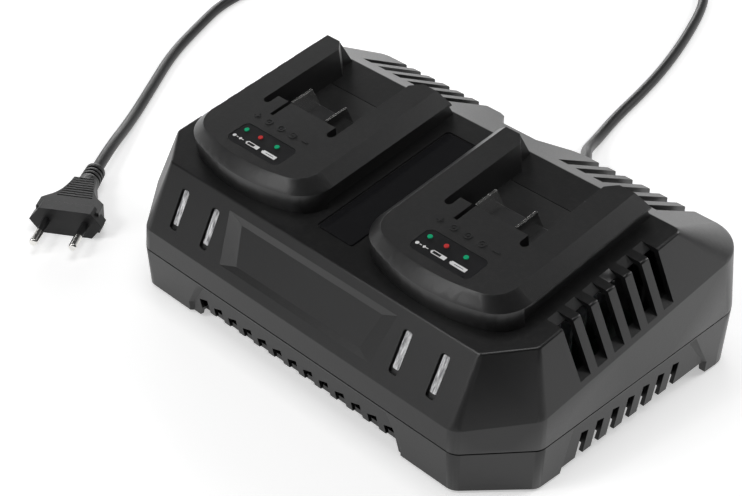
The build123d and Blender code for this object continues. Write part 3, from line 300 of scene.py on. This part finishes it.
def scaled_colour(tree, colour, factor):
    """Colour times factor, with a Vector Math scale."""
    node = tree.nodes.new("ShaderNodeVectorMath")
    node.operation = "SCALE"
    tree.links.new(colour, node.inputs[0])
    tree.links.new(factor, node.inputs["Scale"])
    return node.outputs[0]


# %%
# Node group: moulded skin
def new_group(name, inputs, outputs):
    """A shader group with its inputs as (name, type, default) and its outputs as (name, type)."""
    group = bpy.data.node_groups.new(name, "ShaderNodeTree")
    for label, kind, default in inputs:
        socket = group.interface.new_socket(label, in_out="INPUT", socket_type=kind)
        socket.default_value = default
    for label, kind in outputs:
        group.interface.new_socket(label, in_out="OUTPUT", socket_type=kind)
    entry = group.nodes.new("NodeGroupInput")
    leave = group.nodes.new("NodeGroupOutput")
    return group, entry, leave


COARSE_GRAIN = 0.35
CLOUD_SCALE = 28.0
SPECK = 0.3
ROUGH_SWING = 0.12


def build_skin_group():
    """Grain height = fine noise + half of a coarser one. Colour and roughness swing by a few
    percent with a cloud the size of a hand print and with the grain."""
    group, entry, leave = new_group(
        "moulded_skin",
        [
            ("Colour", "NodeSocketColor", (0.05, 0.05, 0.05, 1.0)),
            ("Roughness", "NodeSocketFloat", 0.5),
            ("Grain", "NodeSocketFloat", 1500.0),
            ("Cloud", "NodeSocketFloat", 0.08),
        ],
        [
            ("Colour", "NodeSocketColor"),
            ("Roughness", "NodeSocketFloat"),
            ("Height", "NodeSocketFloat"),
        ],
    )
    place = object_place(group)
    grain = entry.outputs["Grain"]
    fine = noise(group, place, grain, 3.0, 0.6)
    coarse = noise(group, place, maths(group, "MULTIPLY", grain, COARSE_GRAIN), 1.0)
    height = maths(group, "MULTIPLY_ADD", coarse, 0.5, fine)

    swing = maths(group, "SUBTRACT", noise(group, place, CLOUD_SCALE, 3.0), 0.5)
    swing = maths(group, "MULTIPLY", swing, entry.outputs["Cloud"])
    swing = maths(group, "MULTIPLY_ADD", swing, 2.0, 1.0)
    speck = maths(group, "MULTIPLY_ADD", fine, SPECK, 1.0 - SPECK / 2)
    colour = scaled_colour(group, entry.outputs["Colour"], maths(group, "MULTIPLY", swing, speck))

    rough = maths(group, "MULTIPLY_ADD", fine, ROUGH_SWING, -ROUGH_SWING / 2)
    rough = maths(group, "ADD", rough, entry.outputs["Roughness"])
    rough = maths(group, "MULTIPLY", rough, swing, clamp=True)
    group.links.new(colour, leave.inputs["Colour"])
    group.links.new(rough, leave.inputs["Roughness"])
    group.links.new(height, leave.inputs["Height"])
    return group


skin_group = build_skin_group()
print("skin group:", len(skin_group.nodes), "nodes")

# %%
# Node group: dust
DUST_COLOUR = (0.30, 0.29, 0.27)
DUST_SCALE = 420.0
DUST_GAP = 0.45
DUST_CONTRAST = 3.0
DUST_DULLS = 0.3


def mixed_colour(tree, factor, a, b):
    """a where factor is nought and b where it is one. Each is a socket or an (r, g, b) colour."""
    node = tree.nodes.new("ShaderNodeMix")
    node.data_type = "RGBA"
    tree.links.new(factor, node.inputs["Factor"])
    for label, value in (("A", a), ("B", b)):
        if isinstance(value, tuple):
            node.inputs[label].default_value = (*value, 1.0)
        else:
            tree.links.new(value, node.inputs[label])
    return node.outputs["Result"]


def build_handling_group():
    """Dust = how much a face looks up, times a patchy noise. It lightens the colour and dulls
    it."""
    group, entry, leave = new_group(
        "handling",
        [
            ("Colour", "NodeSocketColor", (0.05, 0.05, 0.05, 1.0)),
            ("Roughness", "NodeSocketFloat", 0.5),
            ("Dust", "NodeSocketFloat", 0.1),
        ],
        [("Colour", "NodeSocketColor"), ("Roughness", "NodeSocketFloat")],
    )
    geometry = group.nodes.new("ShaderNodeNewGeometry")
    split = group.nodes.new("ShaderNodeSeparateXYZ")
    group.links.new(geometry.outputs["Normal"], split.inputs[0])
    up = maths(group, "MAXIMUM", split.outputs["Z"], 0.0)
    up = maths(group, "POWER", up, 2.0)
    patches = noise(group, object_place(group), DUST_SCALE, 4.0, 0.7)
    patches = maths(group, "SUBTRACT", patches, DUST_GAP)
    patches = maths(group, "MULTIPLY", patches, DUST_CONTRAST, clamp=True)
    amount = maths(group, "MULTIPLY", up, patches)
    amount = maths(group, "MULTIPLY", amount, entry.outputs["Dust"], clamp=True)
    colour = mixed_colour(group, amount, entry.outputs["Colour"], DUST_COLOUR)
    rough = maths(group, "MULTIPLY_ADD", amount, DUST_DULLS, entry.outputs["Roughness"])
    group.links.new(colour, leave.inputs["Colour"])
    group.links.new(rough, leave.inputs["Roughness"])
    return group


handling_group = build_handling_group()
print("groups:", [g.name for g in bpy.data.node_groups])

# %% [markdown]
# ## Materials
# Each material is a Principled BSDF. The groups above feed its colour, roughness and bump, and the
# plain numbers stay on the shader's own sockets. Each kind of material is one recipe with a table
# of its members, and later cells find a material by its name. The mouldings come first: housing,
# docks, feet, cord and plug are the same kind of plastic in several greys and grains.


# %%
# What every recipe starts from
def principled(name):
    """The node tree and the Principled BSDF of a new material."""
    material = bpy.data.materials.new(name)
    material.use_nodes = True
    return material.node_tree, material.node_tree.nodes["Principled BSDF"]


def add_group(tree, group, **values):
    """Places a node group and sets its unlinked inputs by name."""
    node = tree.nodes.new("ShaderNodeGroup")
    node.node_tree = group
    for label, value in values.items():
        node.inputs[label].default_value = value
    return node


def add_skin(tree, colour, roughness, grain, cloud):
    """The moulded skin in one colour."""
    return add_group(
        tree, skin_group, Colour=(*colour, 1.0), Roughness=roughness, Grain=grain, Cloud=cloud
    )


def add_bump(tree, shader, height, strength, distance=0.0002):
    """A Bump node from a height to the shader's normal. Distance is the relief in metres."""
    bump = tree.nodes.new("ShaderNodeBump")
    bump.inputs["Strength"].default_value = strength
    bump.inputs["Distance"].default_value = distance
    tree.links.new(height, bump.inputs["Height"])
    tree.links.new(bump.outputs["Normal"], shader.inputs["Normal"])


# %%
# Mouldings: one recipe, several skins
MOULDED_DUST = 0.03
MOULDED_CLOUD = 0.04

# Name: colour, roughness, grain, bump, specular level
MOULDINGS = {
    "housing_plastic": ((0.008, 0.008, 0.0083), 0.34, 1500.0, 0.12, 0.54),
    "dock_plastic": ((0.0095, 0.0095, 0.0098), 0.37, 1700.0, 0.15, 0.65),
    "terminal_insulator": ((0.020, 0.020, 0.021), 0.5, 1500.0, 0.2, 0.5),
    "foot_rubber": ((0.028, 0.028, 0.028), 0.8, 900.0, 0.5, 0.5),
    "cord_pvc": ((0.012, 0.012, 0.0125), 0.40, 900.0, 0.10, 0.36),
    "plug_pvc": ((0.012, 0.012, 0.0125), 0.42, 1300.0, 0.2, 0.36),
    "connector_plastic": ((0.06, 0.22, 0.10), 0.5, 1500.0, 0.2, 0.5),
    "ferrite_core": ((0.05, 0.042, 0.035), 0.6, 800.0, 0.4, 0.5),
}


def moulding(name, colour, roughness, grain, bump, specular):
    """Plastic from a textured mould: skin group, then dust, then bump."""
    tree, shader = principled(name)
    skin = add_skin(tree, colour, roughness, grain, MOULDED_CLOUD)
    dusted = add_group(tree, handling_group, Dust=MOULDED_DUST)
    for label in ("Colour", "Roughness"):
        tree.links.new(skin.outputs[label], dusted.inputs[label])
    tree.links.new(dusted.outputs["Colour"], shader.inputs["Base Color"])
    tree.links.new(dusted.outputs["Roughness"], shader.inputs["Roughness"])
    shader.inputs["Specular IOR Level"].default_value = specular
    add_bump(tree, shader, skin.outputs["Height"], bump)


for name, values in MOULDINGS.items():
    moulding(name, *values)
print("mouldings:", ", ".join(MOULDINGS))

# %% [markdown]
# ## Smooth plastics
# The label film, the plate between the docks and the lenses of the lamps come from polished moulds
# and mirror the room. A perfect mirror looks false, so they wear the same skin with a coarse, very
# shallow grain, which bends reflections a little. The lenses glow slightly in their own colour.

# %%
# Smooth plastics: label film, centre plate, lenses, board, sleeve and print
RIPPLE_GRAIN = 260.0
RIPPLE_BUMP = 0.03
RIPPLE_DEPTH = 0.0004
RIPPLE_CLOUD = 0.04
COAT_ROUGHNESS = 0.08

# Name: colour, roughness, coat, glow
SMOOTH_PLASTICS = {
    "label_film": ((0.010, 0.010, 0.011), 0.30, 0.0, 0.0),
    "centre_plate_gloss": ((0.010, 0.010, 0.011), 0.12, 0.3, 0.0),
    "green_lens": ((0.006, 0.33, 0.15), 0.25, 0.5, 0.15),
    "red_lens": ((0.48, 0.035, 0.035), 0.25, 0.5, 0.15),
    "board_mask": ((0.006, 0.040, 0.018), 0.35, 0.3, 0.0),
    "capacitor_sleeve": ((0.02, 0.03, 0.09), 0.3, 0.3, 0.0),
    "print_white": ((0.72, 0.72, 0.72), 0.45, 0.0, 0.0),
}


def smooth_plastic(name, colour, roughness, coat, glow):
    """Smooth plastic. A very soft ripple keeps its mirror from looking perfect."""
    tree, shader = principled(name)
    skin = add_skin(tree, colour, roughness, RIPPLE_GRAIN, RIPPLE_CLOUD)
    tree.links.new(skin.outputs["Colour"], shader.inputs["Base Color"])
    tree.links.new(skin.outputs["Roughness"], shader.inputs["Roughness"])
    shader.inputs["Coat Weight"].default_value = coat
    shader.inputs["Coat Roughness"].default_value = COAT_ROUGHNESS
    if glow:
        tree.links.new(skin.outputs["Colour"], shader.inputs["Emission Color"])
        shader.inputs["Emission Strength"].default_value = glow
    add_bump(tree, shader, skin.outputs["Height"], RIPPLE_BUMP, RIPPLE_DEPTH)


for name, values in SMOOTH_PLASTICS.items():
    smooth_plastic(name, *values)
print("smooth plastics:", ", ".join(SMOOTH_PLASTICS))

# %% [markdown]
# ## Light guides
# The four bars in the front slots carry light from the board to the front. They are clear plastic
# with a drawn, frosted face. Real refraction would need many bounces for a bar a few millimetres
# wide, so the light and dark streaks that it would show are painted into the colour instead:
# painted light and painted shade, mixed from two greys.

# %%
# Light guides: painted streaks of light and shade
STREAK_SCALE = 900.0
STREAK_STRETCH = (1.0, 0.22, 0.22)
STREAK_TURN = 0.12
STREAK_GAP = 0.38
STREAK_CONTRAST = 3.6


def stretched_place(tree, scale, turn=0.0):
    """The object's own coordinates, scaled and turned about Z. A small scale on one axis draws a
    noise out along it."""
    mapping = tree.nodes.new("ShaderNodeMapping")
    mapping.inputs["Rotation"].default_value = (0.0, 0.0, turn)
    mapping.inputs["Scale"].default_value = scale
    tree.links.new(object_place(tree), mapping.inputs["Vector"])
    return mapping.outputs["Vector"]


def frosted_guide(name, light, dark):
    """Clear plastic seen against a diffuser, with its light painted into its colour: a light and a
    dark grey, painted light and painted shade, are mixed by a noise that is drawn out along the
    guide, so that it shows as fine streaks, with a shallow bump from the same noise."""
    tree, shader = principled(name)
    place = stretched_place(tree, STREAK_STRETCH, STREAK_TURN)
    streak = noise(tree, place, STREAK_SCALE, 3.0, 0.6)
    streak = maths(tree, "SUBTRACT", streak, STREAK_GAP)
    streak = maths(tree, "MULTIPLY", streak, STREAK_CONTRAST, clamp=True)
    # Painted streaks: the light grey stands in for refracted light, the dark grey for shade
    tree.links.new(mixed_colour(tree, streak, dark, light), shader.inputs["Base Color"])
    rough = maths(tree, "MULTIPLY_ADD", streak, 0.2, 0.25)
    tree.links.new(rough, shader.inputs["Roughness"])
    shader.inputs["Coat Weight"].default_value = 0.4
    add_bump(tree, shader, streak, 0.25)


# The two greys of the guides' streaks: painted light and painted shade in place of refraction
GUIDE_PAINTED_LIGHT = (0.92, 0.92, 0.93)
GUIDE_PAINTED_SHADE = (0.26, 0.26, 0.27)
frosted_guide("frosted_guide", GUIDE_PAINTED_LIGHT, GUIDE_PAINTED_SHADE)
print("guide greys:", GUIDE_PAINTED_LIGHT[0], GUIDE_PAINTED_SHADE[0])

# %% [markdown]
# ## Metals and glass
# Contact blades, plug pins, screws and clips are bare metal, and a brushed or drawn metal is rough
# across its lines. A noise that is drawn out along the lines gives both roughness and bump. The
# fuse is a thin glass tube, which the shader's own transmission shows well enough.

# %%
# Metals
METAL_CLOUD = 0.08
LINE_SWING = 0.25
LINE_SHIFT = 0.12
EVEN = (1.0, 1.0, 1.0)

# Name: colour, roughness, brushing (small along the lines), grain, bump
METALS = {
    "contact_strip": ((0.62, 0.62, 0.61), 0.22, (1.0, 0.12, 1.0), 260.0, 0.0),
    "plug_pin_metal": ((0.78, 0.77, 0.74), 0.18, EVEN, 900.0, 0.03),
    "screw_zinc": ((0.55, 0.55, 0.56), 0.35, EVEN, 700.0, 0.08),
    "heat_sink_aluminium": ((0.75, 0.76, 0.77), 0.35, (0.1, 1.0, 1.0), 1500.0, 0.08),
    "clip_brass": ((0.70, 0.52, 0.24), 0.28, EVEN, 700.0, 0.08),
}


def metal(name, colour, roughness, brush, grain, bump):
    """Metal whose roughness and bump come from a noise stretched along the brushing direction."""
    tree, shader = principled(name)
    skin = add_skin(tree, colour, roughness, grain, METAL_CLOUD)
    lines = noise(tree, stretched_place(tree, brush), grain, 3.0, 0.6)
    rough = maths(tree, "MULTIPLY_ADD", lines, LINE_SWING, roughness - LINE_SHIFT, clamp=True)
    tree.links.new(skin.outputs["Colour"], shader.inputs["Base Color"])
    tree.links.new(rough, shader.inputs["Roughness"])
    shader.inputs["Metallic"].default_value = 1.0
    add_bump(tree, shader, lines, bump)


for name, values in METALS.items():
    metal(name, *values)
print("metals:", ", ".join(METALS))


# %%
# Glass
def fuse_glass():
    """Thin clear glass tube: plain transmission, kept on the shader's own sockets."""
    tree, shader = principled("fuse_glass")
    shader.inputs["Base Color"].default_value = (0.86, 0.90, 0.90, 1.0)
    shader.inputs["Roughness"].default_value = 0.05
    shader.inputs["Transmission Weight"].default_value = 0.9
    shader.inputs["IOR"].default_value = 1.46
    ripple = noise(tree, object_place(tree), 220.0, 2.0)
    add_bump(tree, shader, ripple, 0.05, 0.0003)


fuse_glass()
print("materials:", len(bpy.data.materials))

# %% [markdown]
# ## Finishes on the CAD nodes
# Every node keeps its CAD shape and gets its finish here. A table from material to node names is
# easier to read and to change than one call for each node.

# %%
# Which node wears what
FINISHES = {
    "housing_plastic": ["upper_shell", "lower_shell"],
    "dock_plastic": ["left_dock", "right_dock"],
    "terminal_insulator": ["left_terminal_block", "right_terminal_block"],
    "contact_strip": ["left_blades", "right_blades"],
    "label_film": ["left_display_label", "right_display_label"],
    "green_lens": ["left_green_leds", "right_green_leds"],
    "red_lens": ["left_red_led", "right_red_led"],
    "frosted_guide": ["left_light_guides", "right_light_guides"],
    "centre_plate_gloss": ["centre_plate"],
    "foot_rubber": ["rubber_feet"],
    "screw_zinc": ["housing_screws", "board_screws"],
    "board_mask": ["circuit_board", "left_led_board", "right_led_board"],
    "ferrite_core": ["transformer", "choke"],
    "capacitor_sleeve": ["capacitors"],
    "heat_sink_aluminium": ["heat_sinks"],
    "fuse_glass": ["fuse"],
    "clip_brass": ["fuse_clips"],
    "connector_plastic": ["terminal_connector"],
    "cord_pvc": ["cable_strain_relief", "inner_lead", "coil_tie"],
    "plug_pvc": ["plug_body", "pin_sleeves"],
    "plug_pin_metal": ["plug_pins"],
}
for material_name, node_names in FINISHES.items():
    for node_name in node_names:
        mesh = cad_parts[node_name].data
        mesh.materials.clear()
        mesh.materials.append(bpy.data.materials[material_name])
mains_cord.data.materials.append(bpy.data.materials["cord_pvc"])
print("nodes with a finish:", sum(len(names) for names in FINISHES.values()))

# %% [markdown]
# ## Softened edges
# No moulded edge is truly sharp: the tool leaves a radius of a few tenths, and each edge catches a
# fine line of light. A CAD mesh comes as loose triangles, so a Weld modifier joins them first, a
# planar Decimate clears the lines inside flat faces, and a Bevel then rounds the real edges only.

# %%
# Edge rounding by modifiers: width of the bevel on each node
SOFT_EDGES = {
    "upper_shell": 0.45,
    "lower_shell": 0.45,
    "left_dock": 0.45,
    "right_dock": 0.45,
    "plug_body": 0.5,
    "left_blades": 0.12,
    "right_blades": 0.12,
}
WELD_GAP = 0.02
FLAT_ANGLE = radians(0.5)
SHARP_ANGLE = radians(28.0)


def soften(obj, width):
    """Weld, planar dissolve and a two-step bevel on every edge that turns by more than
    SHARP_ANGLE."""
    weld = obj.modifiers.new("weld", "WELD")
    weld.merge_threshold = WELD_GAP * MM
    flat = obj.modifiers.new("flat", "DECIMATE")
    flat.decimate_type = "DISSOLVE"
    flat.angle_limit = FLAT_ANGLE
    bevel = obj.modifiers.new("bevel", "BEVEL")
    bevel.width = width * MM
    bevel.segments = 2
    bevel.limit_method = "ANGLE"
    bevel.angle_limit = SHARP_ANGLE
    bevel.harden_normals = True
    bevel.miter_outer = "MITER_ARC"


for node_name, width in SOFT_EDGES.items():
    soften(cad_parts[node_name], width)
print("softened:", ", ".join(SOFT_EDGES))

# %% [markdown]
# ## Printed pictograms
# Each dock has a dark label with three pictograms beside its lamps: a plug, a battery part filled
# and a battery full. Print could be an image on the label, but an image blurs close up. Here it is
# geometry: outlines in the dock's own plane, raised by the thickness of a coat of paint. The plane
# follows from the dock's place and tilt.

# %%
# The dock's own plane
DOCKS = ((-1, "left"), (1, "right"))
TOP_SLOPE = radians(7.74)
TOP_RISE = 47.4
TOP_PITCH = BODY_PITCH + TOP_SLOPE
TOP_ORIGIN = np.array(from_parting(0.0, 0.0, TOP_RISE))
RIGHT = np.array((1.0, 0.0, 0.0))
UPHILL = np.array((0.0, cos(TOP_PITCH), sin(TOP_PITCH)))
NORMAL = np.array((0.0, -sin(TOP_PITCH), cos(TOP_PITCH)))
DOCK_SPACING = 108.6
PLATE_HEIGHT = 14.9
LABEL_RECESS = 0.5
LABEL_THICKNESS = 0.4
LABEL_FACE = PLATE_HEIGHT - LABEL_RECESS + LABEL_THICKNESS


def on_dock(side, points, height):
    """Plane to world: origin + u * right + v * uphill + height * normal, for all points at once."""
    origin = TOP_ORIGIN + RIGHT * side * DOCK_SPACING / 2 + height * NORMAL
    return origin + points[:, :1] * RIGHT + points[:, 1:] * UPHILL


print("right dock at", np.round(TOP_ORIGIN + RIGHT * DOCK_SPACING / 2, 1))


# %%
# From outlines to one mesh
def walls(first, count, loops, closed):
    """Quads between neighbouring loops of count vertices each: i and i + 1 on one loop, then i + 1
    and i on the next. Closed adds those from the last loop back to the first."""
    grid = first + np.arange(count * loops).reshape(loops, count)
    if closed:
        grid = np.vstack([grid, grid[:1]])
    after = np.roll(grid, -1, axis=1)
    return np.stack([grid[:-1], after[:-1], after[1:], grid[1:]], axis=-1).reshape(-1, 4)


def extrude(side, shapes, height, thickness):
    """Vertices and faces of all shapes, from height to height + thickness. A shape is an outline,
    or a pair of outer and inner outlines with as many points, which leaves the inner one open. Its
    loops run up the outside and, where it is open, down the inside."""
    vertices, faces = np.empty((0, 3)), []
    for shape in shapes:
        outer, inner = shape if isinstance(shape, tuple) else (shape, None)
        first, count = len(vertices), len(outer)
        loops = [on_dock(side, outer, height), on_dock(side, outer, height + thickness)]
        if inner is None:
            under = first + np.arange(count)
            faces += [under[::-1].tolist(), (under + count).tolist()]
        else:
            loops += [on_dock(side, inner, height + thickness), on_dock(side, inner, height)]
        faces += walls(first, count, len(loops), closed=inner is not None).tolist()
        vertices = np.vstack([vertices, *loops])
    return vertices, faces


def add_print(name, vertices, faces, material_name):
    """Vertices in millimetres to a mesh object at the origin, riding on the housing."""
    mesh = bpy.data.meshes.new(name)
    mesh.from_pydata((vertices * MM).tolist(), [], faces)
    mesh.materials.append(bpy.data.materials[material_name])
    mesh.validate()
    mesh.update()
    obj = add_object(name, mesh)
    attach(obj, "root")


# %%
# Outlines of the pictograms
def ring(cx, cy, radius, count):
    """Points of a circle: centre + radius (cos, sin)."""
    angle = np.linspace(0, 2 * pi, count, endpoint=False)
    return np.column_stack([cx + radius * np.cos(angle), cy + radius * np.sin(angle)])


def rectangle(x0, y0, x1, y1):
    """Corners in order, counter-clockwise."""
    return np.array([(x0, y0), (x1, y0), (x1, y1), (x0, y1)], float)


def bar(cx, cy, half_length, half_width):
    """A rectangle about its centre."""
    return rectangle(cx - half_length, cy - half_width, cx + half_length, cy + half_width)


def plug_icon(cx, cy):
    """A disc, a dash, a small square on its corner, and a short lead to the right."""
    return [
        ring(cx - 2.9, cy, 0.85, 20),
        rectangle(cx - 1.6, cy - 0.18, cx - 0.5, cy + 0.18),
        ring(cx + 0.9, cy, 0.85, 4),
        rectangle(cx + 1.7, cy - 0.16, cx + 3.0, cy + 0.16),
    ]


def battery_icon(cx, cy, half_length, start, end, half_slot):
    """A cell on its side: a body 2 mm high with a nub at its left. A slot is left open in it from
    start to end, counted from the body's left edge."""
    left = cx - half_length
    body = bar(cx, cy, half_length, 1.0)
    slot = rectangle(left + start, cy - half_slot, left + end, cy + half_slot)
    return [(body, slot), rectangle(left - 0.5, cy - 0.5, left, cy + 0.5)]


# %%
# Pictograms on both labels
ICON_ROW = -44.2
ICON_PLACES = (-9.9, -1.2, 9.2)
PAINT_THICKNESS = 0.06
icons = plug_icon(ICON_PLACES[0], ICON_ROW)
icons += battery_icon(ICON_PLACES[1], ICON_ROW, 3.6, 0.4, 4.6, 0.65)
icons += battery_icon(ICON_PLACES[2], ICON_ROW, 4.0, 1.8, 6.4, 0.16)
for side, label in DOCKS:
    vertices, faces = extrude(side, icons, LABEL_FACE, PAINT_THICKNESS)
    add_print(f"{label}_pictograms", vertices, faces, "print_white")
print("pictograms at", ICON_PLACES)

# %% [markdown]
# ## Raised marks
# Between the label and the pocket stand five small raised marks: a plus, three rings with a dot,
# and a minus. They are cut into the mould of the dock, so they wear its plastic and stand only
# 0.18 mm proud. A bump could hint at them, but their edges catch light only when they are real.

# %%
# Raised marks on both docks
MARK_ROW = -28.9
MARK_RISE = 0.18
SIGN_PLACE = 15.0
SIGN_REACH = 1.6
SIGN_HALF_WIDTH = 0.45
RING_PLACES = (-7.5, 0.0, 7.5)
RING_OUTER, RING_INNER, RING_POINTS = 2.0, 1.2, 28
DOT_RADIUS, DOT_POINTS = 0.6, 14


def plus_mark(cx, cy, reach, half):
    """The twelve corners of a plus, counter-clockwise: three corners x + iy of one arm, turned by
    0 to 3 quarters, each quarter being a factor of i."""
    arm = np.array((half - reach * 1j, half - half * 1j, reach - half * 1j))
    corners = np.outer((1, 1j, -1, -1j), arm).ravel()
    return np.column_stack([cx + corners.real, cy + corners.imag])


marks = [
    plus_mark(-SIGN_PLACE, MARK_ROW, SIGN_REACH, SIGN_HALF_WIDTH),
    bar(SIGN_PLACE, MARK_ROW, SIGN_REACH, SIGN_HALF_WIDTH),
]
for place in RING_PLACES:
    outer = ring(place, MARK_ROW, RING_OUTER, RING_POINTS)
    inner = ring(place, MARK_ROW, RING_INNER, RING_POINTS)
    marks += [(outer, inner), ring(place, MARK_ROW, DOT_RADIUS, DOT_POINTS)]
for side, label in DOCKS:
    vertices, faces = extrude(side, marks, PLATE_HEIGHT, MARK_RISE)
    add_print(f"{label}_raised_marks", vertices, faces, "dock_plastic")
print("marks per dock:", len(marks))

# %% [markdown]
# ## Bench and light
# Black plastic shows its form by what it mirrors, not by its own colour. Five soft lamps hang
# round the charger: one overhead for the pitched top, one at the right rear for the side slopes,
# two at the left front, a low one for the upright band and a higher one for the recessed panel,
# and a low one at the left rear that draws a light line along the far edges. The cut corner
# mirrors the side where no lamp stands, so it stays dark.
#
# The room is white for the camera. Mirror and glass rays meet a white backdrop on one bearing and
# a dark room elsewhere. The bench keeps its real shading, and with it the shadow, and adds a glow
# for camera, mirror and glass rays. The glow is small round the object and grows outward, so that
# the far bench runs into the white without a line.

# %%
# Bench
BENCH_HALF = 6.0
BENCH_COLOUR = (0.88, 0.88, 0.88, 1.0)
GLOW_START = 0.3
WHITE = (1.0, 1.0, 1.0, 1.0)


def light_path(tree, *labels):
    """One where the ray is of any of these kinds, else nought."""
    path = tree.nodes.new("ShaderNodeLightPath")
    seen = path.outputs[labels[0]]
    for label in labels[1:]:
        seen = maths(tree, "MAXIMUM", seen, path.outputs[label])
    return seen


def bench_paper(near, far, reach):
    """White paper with a glow of near out to GLOW_START x reach from the middle, which then grows
    evenly to far at reach."""
    tree, shader = principled("bench_paper")
    place = object_place(tree)
    fibre = noise(tree, place, 300.0, 4.0, 0.6)
    tree.links.new(maths(tree, "MULTIPLY_ADD", fibre, 0.1, 0.85), shader.inputs["Roughness"])
    shader.inputs["Base Color"].default_value = BENCH_COLOUR
    shader.inputs["Specular IOR Level"].default_value = 0.1
    shader.inputs["Emission Color"].default_value = WHITE
    length = tree.nodes.new("ShaderNodeVectorMath")
    length.operation = "LENGTH"
    tree.links.new(place, length.inputs[0])
    grown = maths(tree, "DIVIDE", length.outputs["Value"], reach)
    grown = maths(tree, "SUBTRACT", grown, GLOW_START, clamp=True)
    glow = maths(tree, "MULTIPLY_ADD", grown, (far - near) / (1.0 - GLOW_START), near)
    glow = maths(tree, "MINIMUM", glow, far)
    seen = light_path(tree, "Is Camera Ray", "Is Glossy Ray", "Is Transmission Ray")
    tree.links.new(maths(tree, "MULTIPLY", seen, glow), shader.inputs["Emission Strength"])


bench_paper(near=0.43, far=0.87, reach=1.5)
bench_mesh = bpy.data.meshes.new("bench")
bench_corners = [(x * BENCH_HALF, y * BENCH_HALF, 0.0) for x, y in rectangle(-1, -1, 1, 1)]
bench_mesh.from_pydata(bench_corners, [], [(0, 1, 2, 3)])
bench_mesh.materials.append(bpy.data.materials["bench_paper"])
bench = add_object("bench", bench_mesh)
print("bench:", 2 * BENCH_HALF, "m square")

# %%
# World: white for the camera, a white backdrop for mirror rays, plain grey light for the rest
BACKDROP_TOP = 0.5
SIDE_CONTRAST = 2.0
SIDE_CUT = 0.3


def build_world(level, dark, bearing):
    """Diffuse rays meet level and camera rays meet white. Mirror and glass rays meet the white
    backdrop, which hangs on one bearing and falls off as the ray's own height grows to
    BACKDROP_TOP, and a dark room elsewhere."""
    world = bpy.data.worlds.new("room")
    bpy.context.scene.world = world
    world.use_nodes = True
    tree = world.node_tree
    background = tree.nodes["Background"]
    background.inputs["Color"].default_value = WHITE
    coords = tree.nodes.new("ShaderNodeTexCoord")
    split = tree.nodes.new("ShaderNodeSeparateXYZ")
    tree.links.new(coords.outputs["Generated"], split.inputs[0])
    fall = maths(tree, "DIVIDE", split.outputs["Z"], BACKDROP_TOP, clamp=True)
    hangs = maths(tree, "SUBTRACT", 1.0, fall)
    across = maths(tree, "MULTIPLY", split.outputs["X"], cos(radians(bearing)))
    along = maths(tree, "MULTIPLY_ADD", split.outputs["Y"], sin(radians(bearing)), across)
    side = maths(tree, "MULTIPLY_ADD", along, SIDE_CONTRAST, -SIDE_CUT, clamp=True)
    mirrored = maths(tree, "MULTIPLY", hangs, side)
    mirrored = maths(tree, "MULTIPLY_ADD", mirrored, 1.0 - dark, dark)
    sheen = light_path(tree, "Is Glossy Ray", "Is Transmission Ray")
    strength = maths(tree, "SUBTRACT", mirrored, level)
    strength = maths(tree, "MULTIPLY_ADD", strength, sheen, level)
    strength = maths(tree, "MAXIMUM", strength, light_path(tree, "Is Camera Ray"))
    tree.links.new(strength, background.inputs["Strength"])


build_world(level=0.15, dark=0.04, bearing=134)
print("world:", bpy.context.scene.world.name)

# %%
# Soft lamps, placed by bearing and height
LAMP_DISTANCE = 1.7

# Name: bearing and height in degrees, the lamp's two sides in metres, level
LAMPS = {
    "top_lamp": (0, 90, 0.9, 0.9, 0.27),
    "right_lamp": (66, 35, 0.8, 0.6, 0.30),
    "front_lamp": (252, 23, 0.7, 0.6, 0.17),
    "panel_lamp": (246, 46, 0.5, 0.4, 0.18),
    "rear_lamp": (145, 14, 1.0, 0.5, 0.26),
}


def soft_lamp(name, bearing, height, width, tall, level):
    """A rectangular area lamp that faces the object. A white card that faces it shows at level:
    watts = level x pi squared x distance squared."""
    flat = cos(radians(height))
    way = Vector((flat * cos(radians(bearing)), flat * sin(radians(bearing)), sin(radians(height))))
    data = bpy.data.lights.new(name, "AREA")
    data.shape = "RECTANGLE"
    data.size = width
    data.size_y = tall
    data.energy = level * pi**2 * LAMP_DISTANCE**2
    turn = (-way).to_track_quat("-Z", "Y").to_matrix().to_4x4()
    add_object(name, data).matrix_world = Matrix.Translation(way * LAMP_DISTANCE) @ turn


for name, values in LAMPS.items():
    soft_lamp(name, *values)
print("lamps:", ", ".join(LAMPS))
